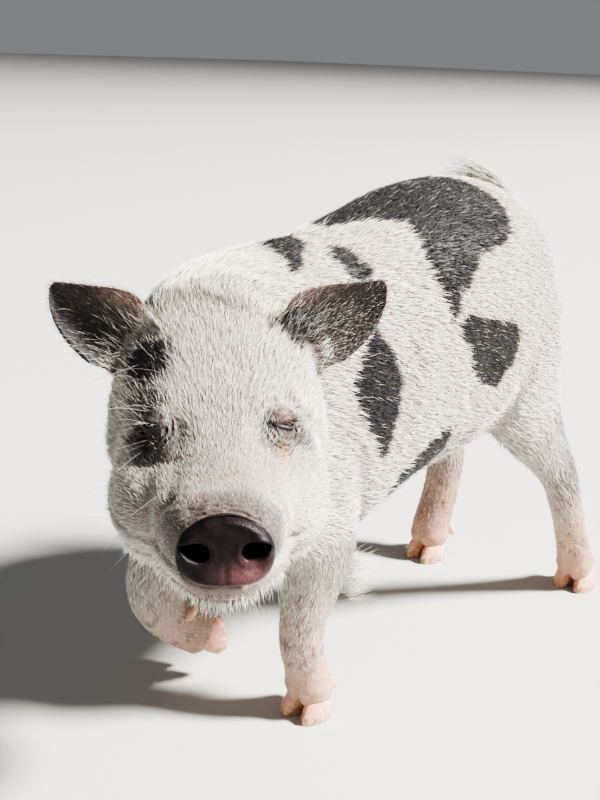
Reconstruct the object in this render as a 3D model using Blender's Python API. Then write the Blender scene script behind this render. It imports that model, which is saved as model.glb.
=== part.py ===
"""Domestic pig, young miniature kind, standing with its right foreleg lifted.

The body is lofted through named stations, skinned as one smooth form and
then parted by thin cuts into head, neck, torso, tail, ears and legs. Eyes,
claws and dewclaws are solids of their own. Units are metres, +Z is up, and
the head looks towards -Y with the neck bent to the animal's left (+X).
"""

import math
import random

import bmesh
import bpy
from mathutils import Matrix, Vector

GAP = 0.0003
WELD = 0.00002
VOXEL = 0.0026
RELAX_STEPS = 7
CORE_TRIANGLES = 6300

# Corners of each kind of cross-section, and how square it is.
BODY_SIDES = 28
LEG_SIDES = 20
TAIL_SIDES = 12
CLAW_SIDES = 12
DEWCLAW_SIDES = 8
LOCK_SIDES = 5
BODY_SQUARENESS = 2.25

# Torso stations from breast to rump: y, top, bottom, half width.
TORSO = (
    (-0.050, 0.292, 0.170, 0.036),
    (-0.038, 0.324, 0.130, 0.058),
    (-0.015, 0.339, 0.110, 0.067),
    (0.020, 0.347, 0.109, 0.078),
    (0.060, 0.355, 0.130, 0.085),
    (0.100, 0.366, 0.147, 0.088),
    (0.145, 0.379, 0.156, 0.089),
    (0.190, 0.384, 0.162, 0.087),
    (0.224, 0.379, 0.170, 0.082),
    (0.253, 0.365, 0.186, 0.073),
    (0.274, 0.345, 0.207, 0.059),
    (0.289, 0.321, 0.233, 0.040),
    (0.296, 0.300, 0.254, 0.019),
)

# Neck stations from torso to skull: x, y, z, half width, half height.
NECK = (
    (0.000, 0.055, 0.248, 0.070, 0.100),
    (0.002, 0.010, 0.250, 0.072, 0.100),
    (0.005, -0.030, 0.256, 0.066, 0.093),
    (0.015, -0.064, 0.262, 0.060, 0.082),
    (0.031, -0.088, 0.261, 0.055, 0.066),
)

# Skull frame: the point between the eyes, and its turn from the body's line.
BROW = Vector((0.0865, -0.1270, 0.2616))
HEAD_YAW = math.radians(49.5)
HEAD_ROLL = math.radians(1.2)

# Skull stations in the skull frame: forward, centre height, half width,
# rise above the centre, drop below it.
SKULL = (
    (-0.100, 0.000, 0.046, 0.070, 0.050),
    (-0.088, -0.003, 0.057, 0.077, 0.060),
    (-0.070, -0.010, 0.066, 0.075, 0.060),
    (-0.050, -0.018, 0.0685, 0.068, 0.054),
    (-0.030, -0.024, 0.0675, 0.059, 0.049),
    (-0.012, -0.028, 0.062, 0.050, 0.044),
    (0.006, -0.033, 0.053, 0.041, 0.038),
    (0.024, -0.037, 0.0455, 0.034, 0.034),
    (0.042, -0.0385, 0.0405, 0.0280, 0.0300),
    (0.060, -0.0390, 0.0360, 0.0240, 0.0265),
    (0.074, -0.0390, 0.0320, 0.0215, 0.0235),
    (0.084, -0.0390, 0.0265, 0.0190, 0.0210),
)
SKULL_SQUARENESS = 2.35

# Jowls: centre in the skull frame and radii.
JOWL = (Vector((0.036, 0.010, -0.047)), (0.031, 0.054, 0.0345))

# Lower jaw stations: forward, centre height, half width, half height.
JAW = (
    (-0.020, -0.050, 0.056, 0.0300),
    (0.000, -0.055, 0.054, 0.0275),
    (0.020, -0.0585, 0.0485, 0.0240),
    (0.040, -0.0600, 0.0410, 0.0200),
    (0.060, -0.0610, 0.0325, 0.0160),
    (0.074, -0.0625, 0.0245, 0.0120),
    (0.083, -0.0640, 0.0170, 0.0085),
    (0.0875, -0.0645, 0.0085, 0.0045),
)

# Plates that part neck, head and tail: centre, normal, half size, side hint.
NECK_CUT = (Vector((0.020, -0.0560, 0.260)), Vector((0.52, -0.80, 0.12)), 0.115)
HEAD_CUT_BACK = 0.072
HEAD_CUT_SIZE = (0.105, 0.098)
TAIL_CUT = (Vector((-0.002, 0.293, 0.334)), Vector((-0.25, 0.50, 0.83)), 0.018)

# Regions of the legs: centre and radii of the rounded cut that parts them.
LEG_REGIONS = (
    (Vector((0.072, 0.000, 0.055)), (0.062, 0.060, 0.100)),
    (Vector((-0.075, -0.035, 0.060)), (0.065, 0.065, 0.105)),
    (Vector((0.090, 0.295, 0.075)), (0.085, 0.100, 0.140)),
    (Vector((-0.095, 0.285, 0.075)), (0.085, 0.100, 0.140)),
)

DISC_FORWARD = 0.100
DISC_THICKNESS = 0.012
DISC_HEIGHT = -0.0384
DISC_HALF_WIDTH = 0.0258
DISC_RISE = 0.0192
DISC_DROP = 0.0205
# Disc profile from its back to its face: distance behind the face, size share.
DISC_PROFILE = (
    (0.0160, 0.90),
    (0.0120, 0.95),
    (0.0080, 1.00),
    (0.0022, 1.00),
    (0.0006, 0.96),
    (0.0000, 0.90),
)

NOSTRIL_SPREAD = 0.0136
NOSTRIL_RISE = 0.0030
NOSTRIL_BACK = 0.004
NOSTRIL_RADII = (0.0062, 0.0200, 0.0052)
NOSTRIL_TURN = math.radians(10)

# Line of the mouth in the skull frame: forward, height.
MOUTH_GAP = 0.0009
MOUTH_HALF_WIDTH = 0.07
MOUTH_LINE = (
    (0.120, -0.0594),
    (0.088, -0.0594),
    (0.060, -0.0560),
    (0.032, -0.0530),
    (0.012, -0.0480),
)

# Eyes: place and look in the skull frame, lids and their opening.
EYE_SPREAD = 0.0350
EYE_FORWARD = -0.0045
EYE_RISE = 0.000
EYE_RADIUS = 0.0088
EYE_LOOK = (0.62, -0.76, 0.10)
LID_THICKNESS = 0.0030
LID_STRETCH = (1.12, 0.96, 1.00)
EYE_OPENING = (0.0066, 0.0034)

# Ears: root, tip and seat of the cut in the skull frame.
EAR_ROOT = Vector((0.0540, -0.054, 0.0320))
EAR_TIP = Vector((0.1035, -0.066, 0.0715))
EAR_SKEW = 0.0030
EAR_SEAT = Vector((0.0600, -0.052, 0.0315))
EAR_SEAT_NORMAL = Vector((0.80, 0.0, 0.59))
EAR_SEAT_SIZE = (0.026, 0.036)
EAR_OPEN = (0.18, -1.0, 0.12)
EAR_WALL = 0.0016
EAR_COLUMNS = 9
# Ear stations: share of the length, widths above and below, depth of the cup.
EAR = (
    (-0.26, 0.0150, 0.0180, 0.010),
    (0.00, 0.0215, 0.0275, 0.013),
    (0.15, 0.0225, 0.0300, 0.014),
    (0.33, 0.0228, 0.0290, 0.013),
    (0.53, 0.0215, 0.0230, 0.010),
    (0.72, 0.0180, 0.0145, 0.0075),
    (0.87, 0.0120, 0.0080, 0.0045),
    (0.96, 0.0060, 0.0040, 0.0025),
    (1.00, 0.0020, 0.0015, 0.0010),
)

# Leg stations from the body to the foot: x, y, z, half width, half depth.
FORELEG_LEFT = (
    (0.050, 0.000, 0.215, 0.026, 0.042),
    (0.052, -0.004, 0.170, 0.027, 0.037),
    (0.050, 0.004, 0.135, 0.024, 0.031),
    (0.048, 0.002, 0.110, 0.0205, 0.0245),
    (0.046, -0.004, 0.085, 0.0175, 0.0190),
    (0.045, -0.005, 0.062, 0.0165, 0.0165),
    (0.0445, 0.001, 0.042, 0.0160, 0.0160),
    (0.0445, 0.006, 0.026, 0.0180, 0.0180),
    (0.0445, 0.008, 0.014, 0.0175, 0.0165),
)
FORELEG_RIGHT = (
    (-0.050, -0.005, 0.215, 0.026, 0.042),
    (-0.054, -0.016, 0.172, 0.027, 0.038),
    (-0.055, -0.034, 0.140, 0.025, 0.032),
    (-0.054, -0.054, 0.112, 0.0215, 0.0250),
    (-0.052, -0.064, 0.088, 0.0190, 0.0200),
    (-0.050, -0.055, 0.067, 0.0170, 0.0180),
    (-0.048, -0.041, 0.053, 0.0165, 0.0165),
    (-0.0475, -0.030, 0.045, 0.0175, 0.0175),
    (-0.047, -0.0215, 0.0410, 0.0170, 0.0165),
)
HINDLEG_LEFT = (
    (0.044, 0.226, 0.280, 0.038, 0.056),
    (0.050, 0.228, 0.240, 0.036, 0.053),
    (0.055, 0.236, 0.205, 0.031, 0.044),
    (0.060, 0.254, 0.176, 0.0240, 0.0310),
    (0.063, 0.278, 0.148, 0.0180, 0.0220),
    (0.064, 0.299, 0.122, 0.0155, 0.0185),
    (0.063, 0.317, 0.090, 0.0145, 0.0155),
    (0.061, 0.334, 0.058, 0.0145, 0.0150),
    (0.059, 0.347, 0.034, 0.0160, 0.0165),
    (0.058, 0.353, 0.016, 0.0165, 0.0160),
)
HINDLEG_RIGHT = (
    (-0.044, 0.226, 0.280, 0.038, 0.056),
    (-0.051, 0.228, 0.240, 0.037, 0.053),
    (-0.058, 0.235, 0.205, 0.032, 0.046),
    (-0.064, 0.253, 0.176, 0.0265, 0.0345),
    (-0.067, 0.288, 0.148, 0.0205, 0.0245),
    (-0.069, 0.308, 0.122, 0.0185, 0.0205),
    (-0.072, 0.315, 0.090, 0.0175, 0.0180),
    (-0.075, 0.312, 0.058, 0.0170, 0.0175),
    (-0.0765, 0.305, 0.034, 0.0180, 0.0180),
    (-0.077, 0.304, 0.016, 0.0180, 0.0170),
)

# Claw rings from sole to top: height, front, back, half width.
CLAW = (
    (0.0000, -0.0195, 0.0130, 0.0088),
    (0.0060, -0.0190, 0.0130, 0.0090),
    (0.0130, -0.0150, 0.0115, 0.0086),
    (0.0190, -0.0095, 0.0080, 0.0072),
    (0.0225, -0.0045, 0.0040, 0.0040),
)
CLEFT = 0.0018
DEWCLAW_SIZE = (0.0048, 0.0125)
DEWCLAW_SPREAD = 0.0095
DEWCLAW_SPLAY = (0.0022, 0.0075)
# Dewclaw rings: share of the length, share of the radius.
DEWCLAW = ((0.0, 0.85), (0.4, 1.0), (0.8, 0.82), (1.0, 0.42))

# Foot frames: point under the foot, turn, pitch, heel and height of dewclaws.
FEET = {
    "front_left": (Vector((0.0445, 0.007, 0.0)), math.radians(4), 0.0, 0.0070, 0.032),
    "front_right": (Vector((-0.0470, -0.0085, 0.0415)), 0.0, math.radians(95), 0.0240, 0.036),
    "hind_left": (Vector((0.0575, 0.357, 0.0)), math.radians(8), 0.0, 0.0010, 0.034),
    "hind_right": (Vector((-0.0770, 0.303, 0.0)), math.radians(-4), 0.0, 0.0155, 0.034),
}

# Tail stations from the rump to the switch: x, y, z, radius.
TAIL = (
    (0.000, 0.268, 0.318, 0.0150),
    (-0.001, 0.290, 0.331, 0.0110),
    (-0.006, 0.300, 0.343, 0.0085),
    (-0.015, 0.303, 0.356, 0.0070),
    (-0.026, 0.300, 0.367, 0.0058),
    (-0.037, 0.294, 0.375, 0.0045),
    (-0.046, 0.287, 0.380, 0.0028),
)

# Locks of long hair: number, width, length range and bend of each bunch.
LOCK_STEPS = 4
SWITCH_LOCKS = 13
SWITCH_WIDTH = 0.0021
SWITCH_LENGTH = (0.022, 0.032)
SWITCH_BEND = Vector((-0.15, 0.05, -0.12))
ELBOW_LOCKS = 7
ELBOW_WIDTH = 0.0020
ELBOW_LENGTH = (0.026, 0.038)
ELBOW_LEFT = Vector((0.056, 0.024, 0.108))
ELBOW_RIGHT = Vector((-0.060, -0.010, 0.108))

# Finishes: colour and roughness.
FINISHES = {
    "coat": ((0.80, 0.76, 0.70), 0.60),
    "disc": ((0.11, 0.045, 0.05), 0.45),
    "eye": ((0.02, 0.014, 0.012), 0.10),
    "claw": ((0.62, 0.33, 0.22), 0.40),
}


def clear_scene():
    """Remove every object in the scene."""
    for item in list(bpy.data.objects):
        bpy.data.objects.remove(item, do_unlink=True)


def paint(item, finish):
    """Give an object its own Principled material."""
    colour, roughness = FINISHES[finish]
    material = bpy.data.materials.new(item.name)
    material.use_nodes = True
    shader = material.node_tree.nodes["Principled BSDF"]
    shader.inputs["Base Color"].default_value = (*colour, 1.0)
    shader.inputs["Roughness"].default_value = roughness
    shader.inputs["Metallic"].default_value = 0.0
    item.data.materials.clear()
    item.data.materials.append(material)


def to_object(name, mesh_data):
    """Store a bmesh as a named object, with its faces turned outward."""
    bmesh.ops.recalc_face_normals(mesh_data, faces=mesh_data.faces)
    mesh = bpy.data.meshes.new(name)
    mesh_data.to_mesh(mesh)
    mesh_data.free()
    item = bpy.data.objects.new(name, mesh)
    bpy.context.scene.collection.objects.link(item)
    return item


def apply_modifiers(item):
    """Apply the modifiers of an object in their order."""
    bpy.context.view_layer.objects.active = item
    for modifier in list(item.modifiers):
        bpy.ops.object.modifier_apply(modifier=modifier.name)


def boolean(item, other, operation, solver="MANIFOLD"):
    """Apply a Boolean of another object, which is removed afterwards."""
    modifier = item.modifiers.new(operation.lower(), "BOOLEAN")
    modifier.operation = operation
    modifier.solver = solver
    modifier.object = other
    apply_modifiers(item)
    bpy.data.objects.remove(other, do_unlink=True)


def squared(angle, power):
    """Unit point of a superellipse at an angle."""
    cosine, sine = math.cos(angle), math.sin(angle)
    return (
        math.copysign(abs(cosine) ** (2.0 / power), cosine),
        math.copysign(abs(sine) ** (2.0 / power), sine),
    )


def ring(frame, half_width, rise, drop, sides, power):
    """Points of one cross-section in the X-Y plane of its frame."""
    points = []
    for index in range(sides):
        across, up = squared(2.0 * math.pi * index / sides, power)
        height = up * (rise if up > 0.0 else drop)
        points.append(frame @ Vector((across * half_width, height, 0.0)))
    return points


def loft(name, rings):
    """Bridge rings of equal count into one closed tube."""
    mesh_data = bmesh.new()
    loops = []
    for points in rings:
        corners = [mesh_data.verts.new(point) for point in points]
        count = len(corners)
        pairs = [(corners[i], corners[(i + 1) % count]) for i in range(count)]
        loops.append([mesh_data.edges.new(pair) for pair in pairs])
    for first, second in zip(loops, loops[1:]):
        bmesh.ops.bridge_loops(mesh_data, edges=first + second)
    for loop in (loops[0], loops[-1]):
        bmesh.ops.contextual_create(mesh_data, geom=loop)
    return to_object(name, mesh_data)


def frame_at(centre, along, across_hint):
    """Frame whose Z runs along a path and whose X lies near a hint."""
    along = along.normalized()
    up = along.cross(across_hint).normalized()
    across = up.cross(along)
    return Matrix.Translation(centre) @ Matrix((across, up, along)).transposed().to_4x4()


def path_tube(name, stations, across_hint, sides=LEG_SIDES, power=2.0):
    """Tube through stations of x, y, z, half width and half depth."""
    centres = [Vector(station[:3]) for station in stations]
    rings = []
    last = len(centres) - 1
    for index, station in enumerate(stations):
        along = centres[min(index + 1, last)] - centres[max(index - 1, 0)]
        frame = frame_at(centres[index], along, across_hint)
        half_width, half_depth = station[3], station[-1]
        rings.append(ring(frame, half_width, half_depth, half_depth, sides, power))
    return loft(name, rings)


def torso_tube():
    """Barrel of the body, its rings upright across the long axis."""
    rings = []
    for y, top, bottom, half_width in TORSO:
        centre = Vector((0.0, y, (top + bottom) / 2.0))
        frame = Matrix.Translation(centre) @ Matrix.Rotation(math.radians(90), 4, "X")
        half_height = (top - bottom) / 2.0
        size = (half_width, half_height, half_height)
        rings.append(ring(frame, *size, BODY_SIDES, BODY_SQUARENESS))
    return loft("torso_core", rings)


def skull_matrix():
    """Skull frame: X to the animal's left, Y backward, Z up."""
    turn = Matrix.Rotation(HEAD_YAW, 4, "Z") @ Matrix.Rotation(-HEAD_ROLL, 4, "Y")
    return Matrix.Translation(BROW) @ turn


def skull_point(across, forward, rise):
    """Point of the skull frame in the body's frame."""
    return skull_matrix() @ Vector((across, -forward, rise))


def skull_ring(forward, height, half_width, rise, drop, sides, power):
    """Cross-section of the skull at a distance ahead of the brow."""
    frame = skull_matrix() @ Matrix.Translation((0.0, -forward, height))
    frame = frame @ Matrix.Rotation(math.radians(90), 4, "X")
    return ring(frame, half_width, rise, drop, sides, power)


def skull_tube():
    """Skull, muzzle and cheeks in one tube."""
    rings = [skull_ring(*station, BODY_SIDES, SKULL_SQUARENESS) for station in SKULL]
    return loft("skull_core", rings)


def jaw_tube():
    """Lower jaw under the muzzle, with the chin at its end."""
    rings = []
    for forward, height, half_width, half_height in JAW:
        size = (half_width, half_height, half_height)
        rings.append(skull_ring(forward, height, *size, LEG_SIDES, BODY_SQUARENESS))
    return loft("jaw_core", rings)


def ball(name, centre, radii, turn=None, segments=16, rings=10):
    """Ellipsoid at a point, turned by a matrix."""
    mesh_data = bmesh.new()
    bmesh.ops.create_uvsphere(mesh_data, u_segments=segments, v_segments=rings, radius=1.0)
    turn = turn or Matrix.Identity(4)
    matrix = Matrix.Translation(centre) @ turn @ Matrix.Diagonal((*radii, 1.0))
    bmesh.ops.transform(mesh_data, matrix=matrix, verts=mesh_data.verts)
    return to_object(name, mesh_data)


def disc_puck():
    """Rounded disc at the end of the muzzle, its rim proud of it."""
    rings = []
    for behind, share in DISC_PROFILE:
        size = (DISC_HALF_WIDTH * share, DISC_RISE * share, DISC_DROP * share)
        forward = DISC_FORWARD - behind
        rings.append(skull_ring(forward, DISC_HEIGHT, *size, BODY_SIDES, BODY_SQUARENESS))
    return loft("disc_core", rings)


def eye_centre(side):
    """Centre of an eyeball, side is 1 for left and -1 for right."""
    return skull_point(side * EYE_SPREAD, EYE_FORWARD, EYE_RISE)


def eye_turn(side):
    """Turn whose Z looks out of the eye and whose X runs along the lids."""
    aside, ahead, up = EYE_LOOK
    out = skull_matrix().to_3x3() @ Vector((side * aside, ahead, up))
    along = skull_matrix().to_3x3() @ Vector((-ahead, side * aside, -up * side))
    up = out.cross(along).normalized()
    along = up.cross(out).normalized()
    return Matrix((along, up, out.normalized())).transposed().to_4x4()


def lid_mound(side):
    """Swell of the closed lids over the eyeball."""
    radii = [(EYE_RADIUS + LID_THICKNESS) * stretch for stretch in LID_STRETCH]
    return ball("lid_core", eye_centre(side), radii, eye_turn(side))


def jowl(side):
    """Full cheek that hangs beside the jaw."""
    place, radii = JOWL
    centre = skull_matrix() @ Vector((side * place.x, place.y, place.z))
    return ball("jowl_core", centre, radii, skull_matrix().to_3x3().to_4x4())


def body_core():
    """Whole body as one smooth closed form."""
    across = Vector((1.0, 0.0, 0.0))
    pieces = [
        torso_tube(),
        path_tube("neck_core", NECK, across, BODY_SIDES, BODY_SQUARENESS),
        skull_tube(),
        jaw_tube(),
        jowl(1),
        jowl(-1),
        disc_puck(),
        path_tube("leg_core", FORELEG_LEFT, across),
        path_tube("leg_core", FORELEG_RIGHT, across),
        path_tube("leg_core", HINDLEG_LEFT, across),
        path_tube("leg_core", HINDLEG_RIGHT, across),
        lid_mound(1),
        lid_mound(-1),
    ]
    core = pieces[0]
    for item in bpy.context.selected_objects:
        item.select_set(False)
    for piece in pieces:
        piece.select_set(True)
    bpy.context.view_layer.objects.active = core
    bpy.ops.object.join()
    skin = core.modifiers.new("skin", "REMESH")
    skin.mode = "VOXEL"
    skin.voxel_size = VOXEL
    relax = core.modifiers.new("relax", "SMOOTH")
    relax.factor = 0.5
    relax.iterations = RELAX_STEPS
    apply_modifiers(core)
    quads = len(core.data.polygons)
    thin = core.modifiers.new("thin", "DECIMATE")
    thin.ratio = CORE_TRIANGLES / (2.0 * quads)
    apply_modifiers(core)
    return core


def ear(side):
    """Cupped ear: a curved leaf with a wall, open to the front."""
    root = skull_point(side * EAR_ROOT.x, EAR_ROOT.y, EAR_ROOT.z)
    tip = skull_point(side * EAR_TIP.x + EAR_SKEW, EAR_TIP.y, EAR_TIP.z)
    axis = tip - root
    aside, ahead, up = EAR_OPEN
    front = skull_matrix().to_3x3() @ Vector((side * aside, ahead, up))
    across = axis.cross(front).normalized()
    front = across.cross(axis).normalized()
    rings = []
    for share, above, below, depth in EAR:
        centre = root + axis * share
        outer, inner = [], []
        for index in range(EAR_COLUMNS):
            t = -1.0 + 2.0 * index / (EAR_COLUMNS - 1)
            cup = depth * (1.0 - t * t)
            wall = EAR_WALL * (1.0 - 0.55 * t * t) * (1.6 - share)
            place = centre + across * (t * (above if t * side > 0.0 else below))
            outer.append(place - front * (cup + wall))
            inner.append(place - front * (cup - wall))
        rings.append(outer + inner[::-1])
    return loft("ear_core", rings)


def foot_matrix(name):
    """Frame of a foot: X to the animal's left, -Y to the toes, Z up."""
    place, turn, pitch = FEET[name][:3]
    spin = Matrix.Rotation(turn, 4, "Z") @ Matrix.Rotation(pitch, 4, "X")
    return Matrix.Translation(place) @ spin


def claw(name, foot, side):
    """One claw of a foot: flat sole, flat inner wall, rounded outer wall."""
    matrix = foot_matrix(foot)
    rings = []
    for height, front, back, half_width in CLAW:
        points = []
        for index in range(CLAW_SIDES):
            angle = 2.0 * math.pi * index / CLAW_SIDES
            reach = (back - front) / 2.0
            y = (back + front) / 2.0 + reach * math.sin(angle)
            toe = max(0.0, -math.sin(angle))
            width = half_width * (1.0 - 0.30 * toe * toe)
            x = max(CLEFT / 2.0, CLEFT / 2.0 + half_width + width * math.cos(angle))
            points.append(matrix @ Vector((side * x, y, height)))
        rings.append(points)
    return loft(name, rings)


def dewclaw(name, foot, side):
    """Small spare claw behind and above the foot."""
    radius, length = DEWCLAW_SIZE
    heel, height = FEET[foot][3:]
    root = Vector((side * DEWCLAW_SPREAD, heel, height))
    aside, back = DEWCLAW_SPLAY
    point = root + Vector((side * aside, back, -length))
    matrix = foot_matrix(foot)
    stations = []
    for share, scale in DEWCLAW:
        centre = matrix @ root.lerp(point, share)
        stations.append((*centre, radius * scale, radius * scale * 0.8))
    across = matrix.to_3x3() @ Vector((1.0, 0.0, 0.0))
    return path_tube(name, stations, across, sides=DEWCLAW_SIDES)


def lock(name, root, along, bend, length, width, twist):
    """Flat tapered lock of hair from a root point."""
    stations = []
    for index in range(LOCK_STEPS + 1):
        share = index / LOCK_STEPS
        centre = root + along * (length * share) + bend * (length * share * share)
        half = width * (1.0 - share) ** 0.7 + 0.00025
        stations.append((*centre, half, half * 0.5))
    return path_tube(name, stations, twist, sides=LOCK_SIDES)


def fuse_locks(item, locks):
    """Unite locks with a solid and keep it as one closed body."""
    bundle = bpy.data.collections.new(item.name + "_locks")
    bpy.context.scene.collection.children.link(bundle)
    for piece in locks:
        bpy.context.scene.collection.objects.unlink(piece)
        bundle.objects.link(piece)
    modifier = item.modifiers.new("locks", "BOOLEAN")
    modifier.operation = "UNION"
    modifier.solver = "MANIFOLD"
    modifier.operand_type = "COLLECTION"
    modifier.collection = bundle
    apply_modifiers(item)
    for piece in list(bundle.objects):
        bpy.data.objects.remove(piece, do_unlink=True)
    bpy.data.collections.remove(bundle)
    keep_largest(item)


def shells(mesh_data):
    """Groups of faces that hang together, the largest first."""
    left = set(mesh_data.faces)
    groups = []
    while left:
        seed = left.pop()
        group, queue = [seed], [seed]
        while queue:
            for edge in queue.pop().edges:
                for face in edge.link_faces:
                    if face in left:
                        left.discard(face)
                        group.append(face)
                        queue.append(face)
        groups.append(group)
    return sorted(groups, key=len, reverse=True)


def keep_largest(item):
    """Drop every shell of a mesh but the largest."""
    mesh_data = bmesh.new()
    mesh_data.from_mesh(item.data)
    spare = [face for group in shells(mesh_data)[1:] for face in group]
    bmesh.ops.delete(mesh_data, geom=spare, context="FACES")
    mesh_data.to_mesh(item.data)
    mesh_data.free()


def clean(item):
    """Weld the tiny edges that cuts leave and split faces into triangles."""
    mesh_data = bmesh.new()
    mesh_data.from_mesh(item.data)
    bmesh.ops.remove_doubles(mesh_data, verts=mesh_data.verts, dist=WELD)
    bmesh.ops.dissolve_degenerate(mesh_data, edges=mesh_data.edges, dist=WELD)
    bmesh.ops.triangulate(mesh_data, faces=mesh_data.faces)
    mesh_data.to_mesh(item.data)
    mesh_data.free()


def tail_switch():
    """Locks of the switch, fanned round the tail's end."""
    rng = random.Random(11)
    end = Vector(TAIL[-1][:3])
    before = Vector(TAIL[-3][:3])
    along = (end - before).normalized()
    locks = []
    for index in range(SWITCH_LOCKS):
        angle = 2.0 * math.pi * index / SWITCH_LOCKS
        share = rng.uniform(0.0, 1.0)
        root = before.lerp(end, 0.15 + 0.80 * share)
        aside = Vector((math.cos(angle), 0.0, math.sin(angle)))
        aside = (aside - along * aside.dot(along)).normalized()
        way = (along + aside * rng.uniform(0.16, 0.36)).normalized()
        length = rng.uniform(*SWITCH_LENGTH)
        twist = Vector((0.0, 0.3, 1.0))
        locks.append(lock("lock", root, way, SWITCH_BEND, length, SWITCH_WIDTH, twist))
    return locks


def elbow_tuft(side, elbow):
    """Locks that sweep back from the point of an elbow."""
    rng = random.Random(5 + side)
    locks = []
    for index in range(ELBOW_LOCKS):
        share = index / (ELBOW_LOCKS - 1)
        aside = side * rng.uniform(-0.006, 0.006)
        root = elbow + Vector((aside, -0.004, -0.014 + 0.026 * share))
        way = Vector((side * rng.uniform(0.10, 0.45), 1.0, rng.uniform(-0.55, -0.15)))
        bend = Vector((side * 0.12, 0.0, 0.42))
        length = rng.uniform(*ELBOW_LENGTH)
        twist = Vector((0.0, 0.2, 1.0))
        locks.append(lock("lock", root, way.normalized(), bend, length, ELBOW_WIDTH, twist))
    return locks


def plate(centre, normal, half_side, half_other, hint):
    """Thin cutting plate at a point, square to a normal."""
    mesh_data = bmesh.new()
    bmesh.ops.create_cube(mesh_data, size=1.0)
    frame = frame_at(centre, normal, hint)
    scale = Matrix.Diagonal((2.0 * half_side, 2.0 * half_other, GAP, 1.0))
    bmesh.ops.transform(mesh_data, matrix=frame @ scale, verts=mesh_data.verts)
    return to_object("plate", mesh_data)


def rind(centre, radii):
    """Thin closed shell that parts what lies inside an ellipsoid."""
    outer = ball("rind", centre, radii)
    inner = ball("rind_inside", centre, [radius - GAP for radius in radii])
    mesh_data = bmesh.new()
    mesh_data.from_mesh(inner.data)
    bmesh.ops.reverse_faces(mesh_data, faces=mesh_data.faces)
    mesh_data.from_mesh(outer.data)
    mesh_data.to_mesh(outer.data)
    mesh_data.free()
    bpy.data.objects.remove(inner, do_unlink=True)
    return outer


def mouth_cutter():
    """Thin bent plate along the line of the mouth."""
    rings = []
    for forward, height in MOUTH_LINE:
        points = []
        for side, rise in ((-1, -1), (1, -1), (1, 1), (-1, 1)):
            place = height + rise * MOUTH_GAP / 2.0
            points.append(skull_point(side * MOUTH_HALF_WIDTH, forward, place))
        rings.append(points)
    return loft("mouth_cutter", rings)


def carve_face(core):
    """Cut eye sockets, lid openings, nostrils and mouth into the head."""
    cutters = [mouth_cutter()]
    nose_height = DISC_HEIGHT + NOSTRIL_RISE
    for side in (1, -1):
        turn = eye_turn(side)
        socket = EYE_RADIUS + GAP
        cutters.append(ball("socket", eye_centre(side), (socket,) * 3, turn))
        opening = (*EYE_OPENING, EYE_RADIUS + LID_THICKNESS)
        centre = eye_centre(side) + turn.to_3x3() @ Vector((0.0, 0.0, EYE_RADIUS))
        cutters.append(ball("opening", centre, opening, turn))
        nostril = skull_point(side * NOSTRIL_SPREAD, DISC_FORWARD - NOSTRIL_BACK, nose_height)
        aim = skull_matrix() @ Matrix.Rotation(side * NOSTRIL_TURN, 4, "Z")
        cutters.append(ball("nostril", nostril, NOSTRIL_RADII, aim.to_3x3().to_4x4()))
    for cutter in cutters:
        boolean(core, cutter, "DIFFERENCE")


def part_body(core):
    """Cut the body into its named parts with thin plates."""
    skull = skull_matrix().to_3x3()
    forward = skull @ Vector((0.0, -1.0, 0.0))
    up = Vector((0.0, 0.0, 1.0))
    across = Vector((1.0, 0.0, 0.0))
    disc_back = skull_point(0.0, DISC_FORWARD - DISC_THICKNESS, DISC_HEIGHT)
    cuts = [
        plate(*NECK_CUT, NECK_CUT[2], up),
        plate(skull_point(0.0, -HEAD_CUT_BACK, 0.0), forward, *HEAD_CUT_SIZE, up),
        plate(disc_back, forward, 1.5 * DISC_HALF_WIDTH, 1.5 * DISC_HALF_WIDTH, up),
        plate(*TAIL_CUT, TAIL_CUT[2], across),
    ]
    cuts += [rind(centre, radii) for centre, radii in LEG_REGIONS]
    for side in (1, -1):
        place = skull_point(side * EAR_SEAT.x, EAR_SEAT.y, EAR_SEAT.z)
        normal = Vector((side * EAR_SEAT_NORMAL.x, EAR_SEAT_NORMAL.y, EAR_SEAT_NORMAL.z))
        cuts.append(plate(place, skull @ normal, *EAR_SEAT_SIZE, forward))
    for cutter in cuts:
        boolean(core, cutter, "DIFFERENCE")


# Rough middle of each part, by which a loose shell gets its name.
PART_PLACES = {
    "torso": Vector((0.0, 0.17, 0.27)),
    "neck": Vector((0.015, -0.035, 0.24)),
    "head": skull_point(0.0, -0.02, -0.02),
    "snout_disc": skull_point(0.0, 0.095, -0.038),
    "tail": Vector((-0.020, 0.300, 0.358)),
    "foreleg_left": Vector((0.046, 0.0, 0.075)),
    "foreleg_right": Vector((-0.051, -0.05, 0.08)),
    "hindleg_left": Vector((0.065, 0.30, 0.11)),
    "hindleg_right": Vector((-0.072, 0.30, 0.11)),
    "ear_left": skull_point(0.075, -0.066, 0.055),
    "ear_right": skull_point(-0.075, -0.066, 0.055),
}


def split_parts(core):
    """Turn each loose shell of the cut body into a named object."""
    mesh_data = bmesh.new()
    mesh_data.from_mesh(core.data)
    parts = {}
    spare = dict(PART_PLACES)
    for group in shells(mesh_data):
        points = {vert for face in group for vert in face.verts}
        centre = sum((vert.co for vert in points), Vector()) / len(points)
        if not spare:
            break
        name = min(spare, key=lambda key: (spare[key] - centre).length)
        del spare[name]
        piece = bmesh.new()
        made = {vert: piece.verts.new(vert.co) for vert in points}
        for face in group:
            piece.faces.new([made[vert] for vert in face.verts])
        parts[name] = to_object(name, piece)
    mesh_data.free()
    bpy.data.objects.remove(core, do_unlink=True)
    return parts


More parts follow.
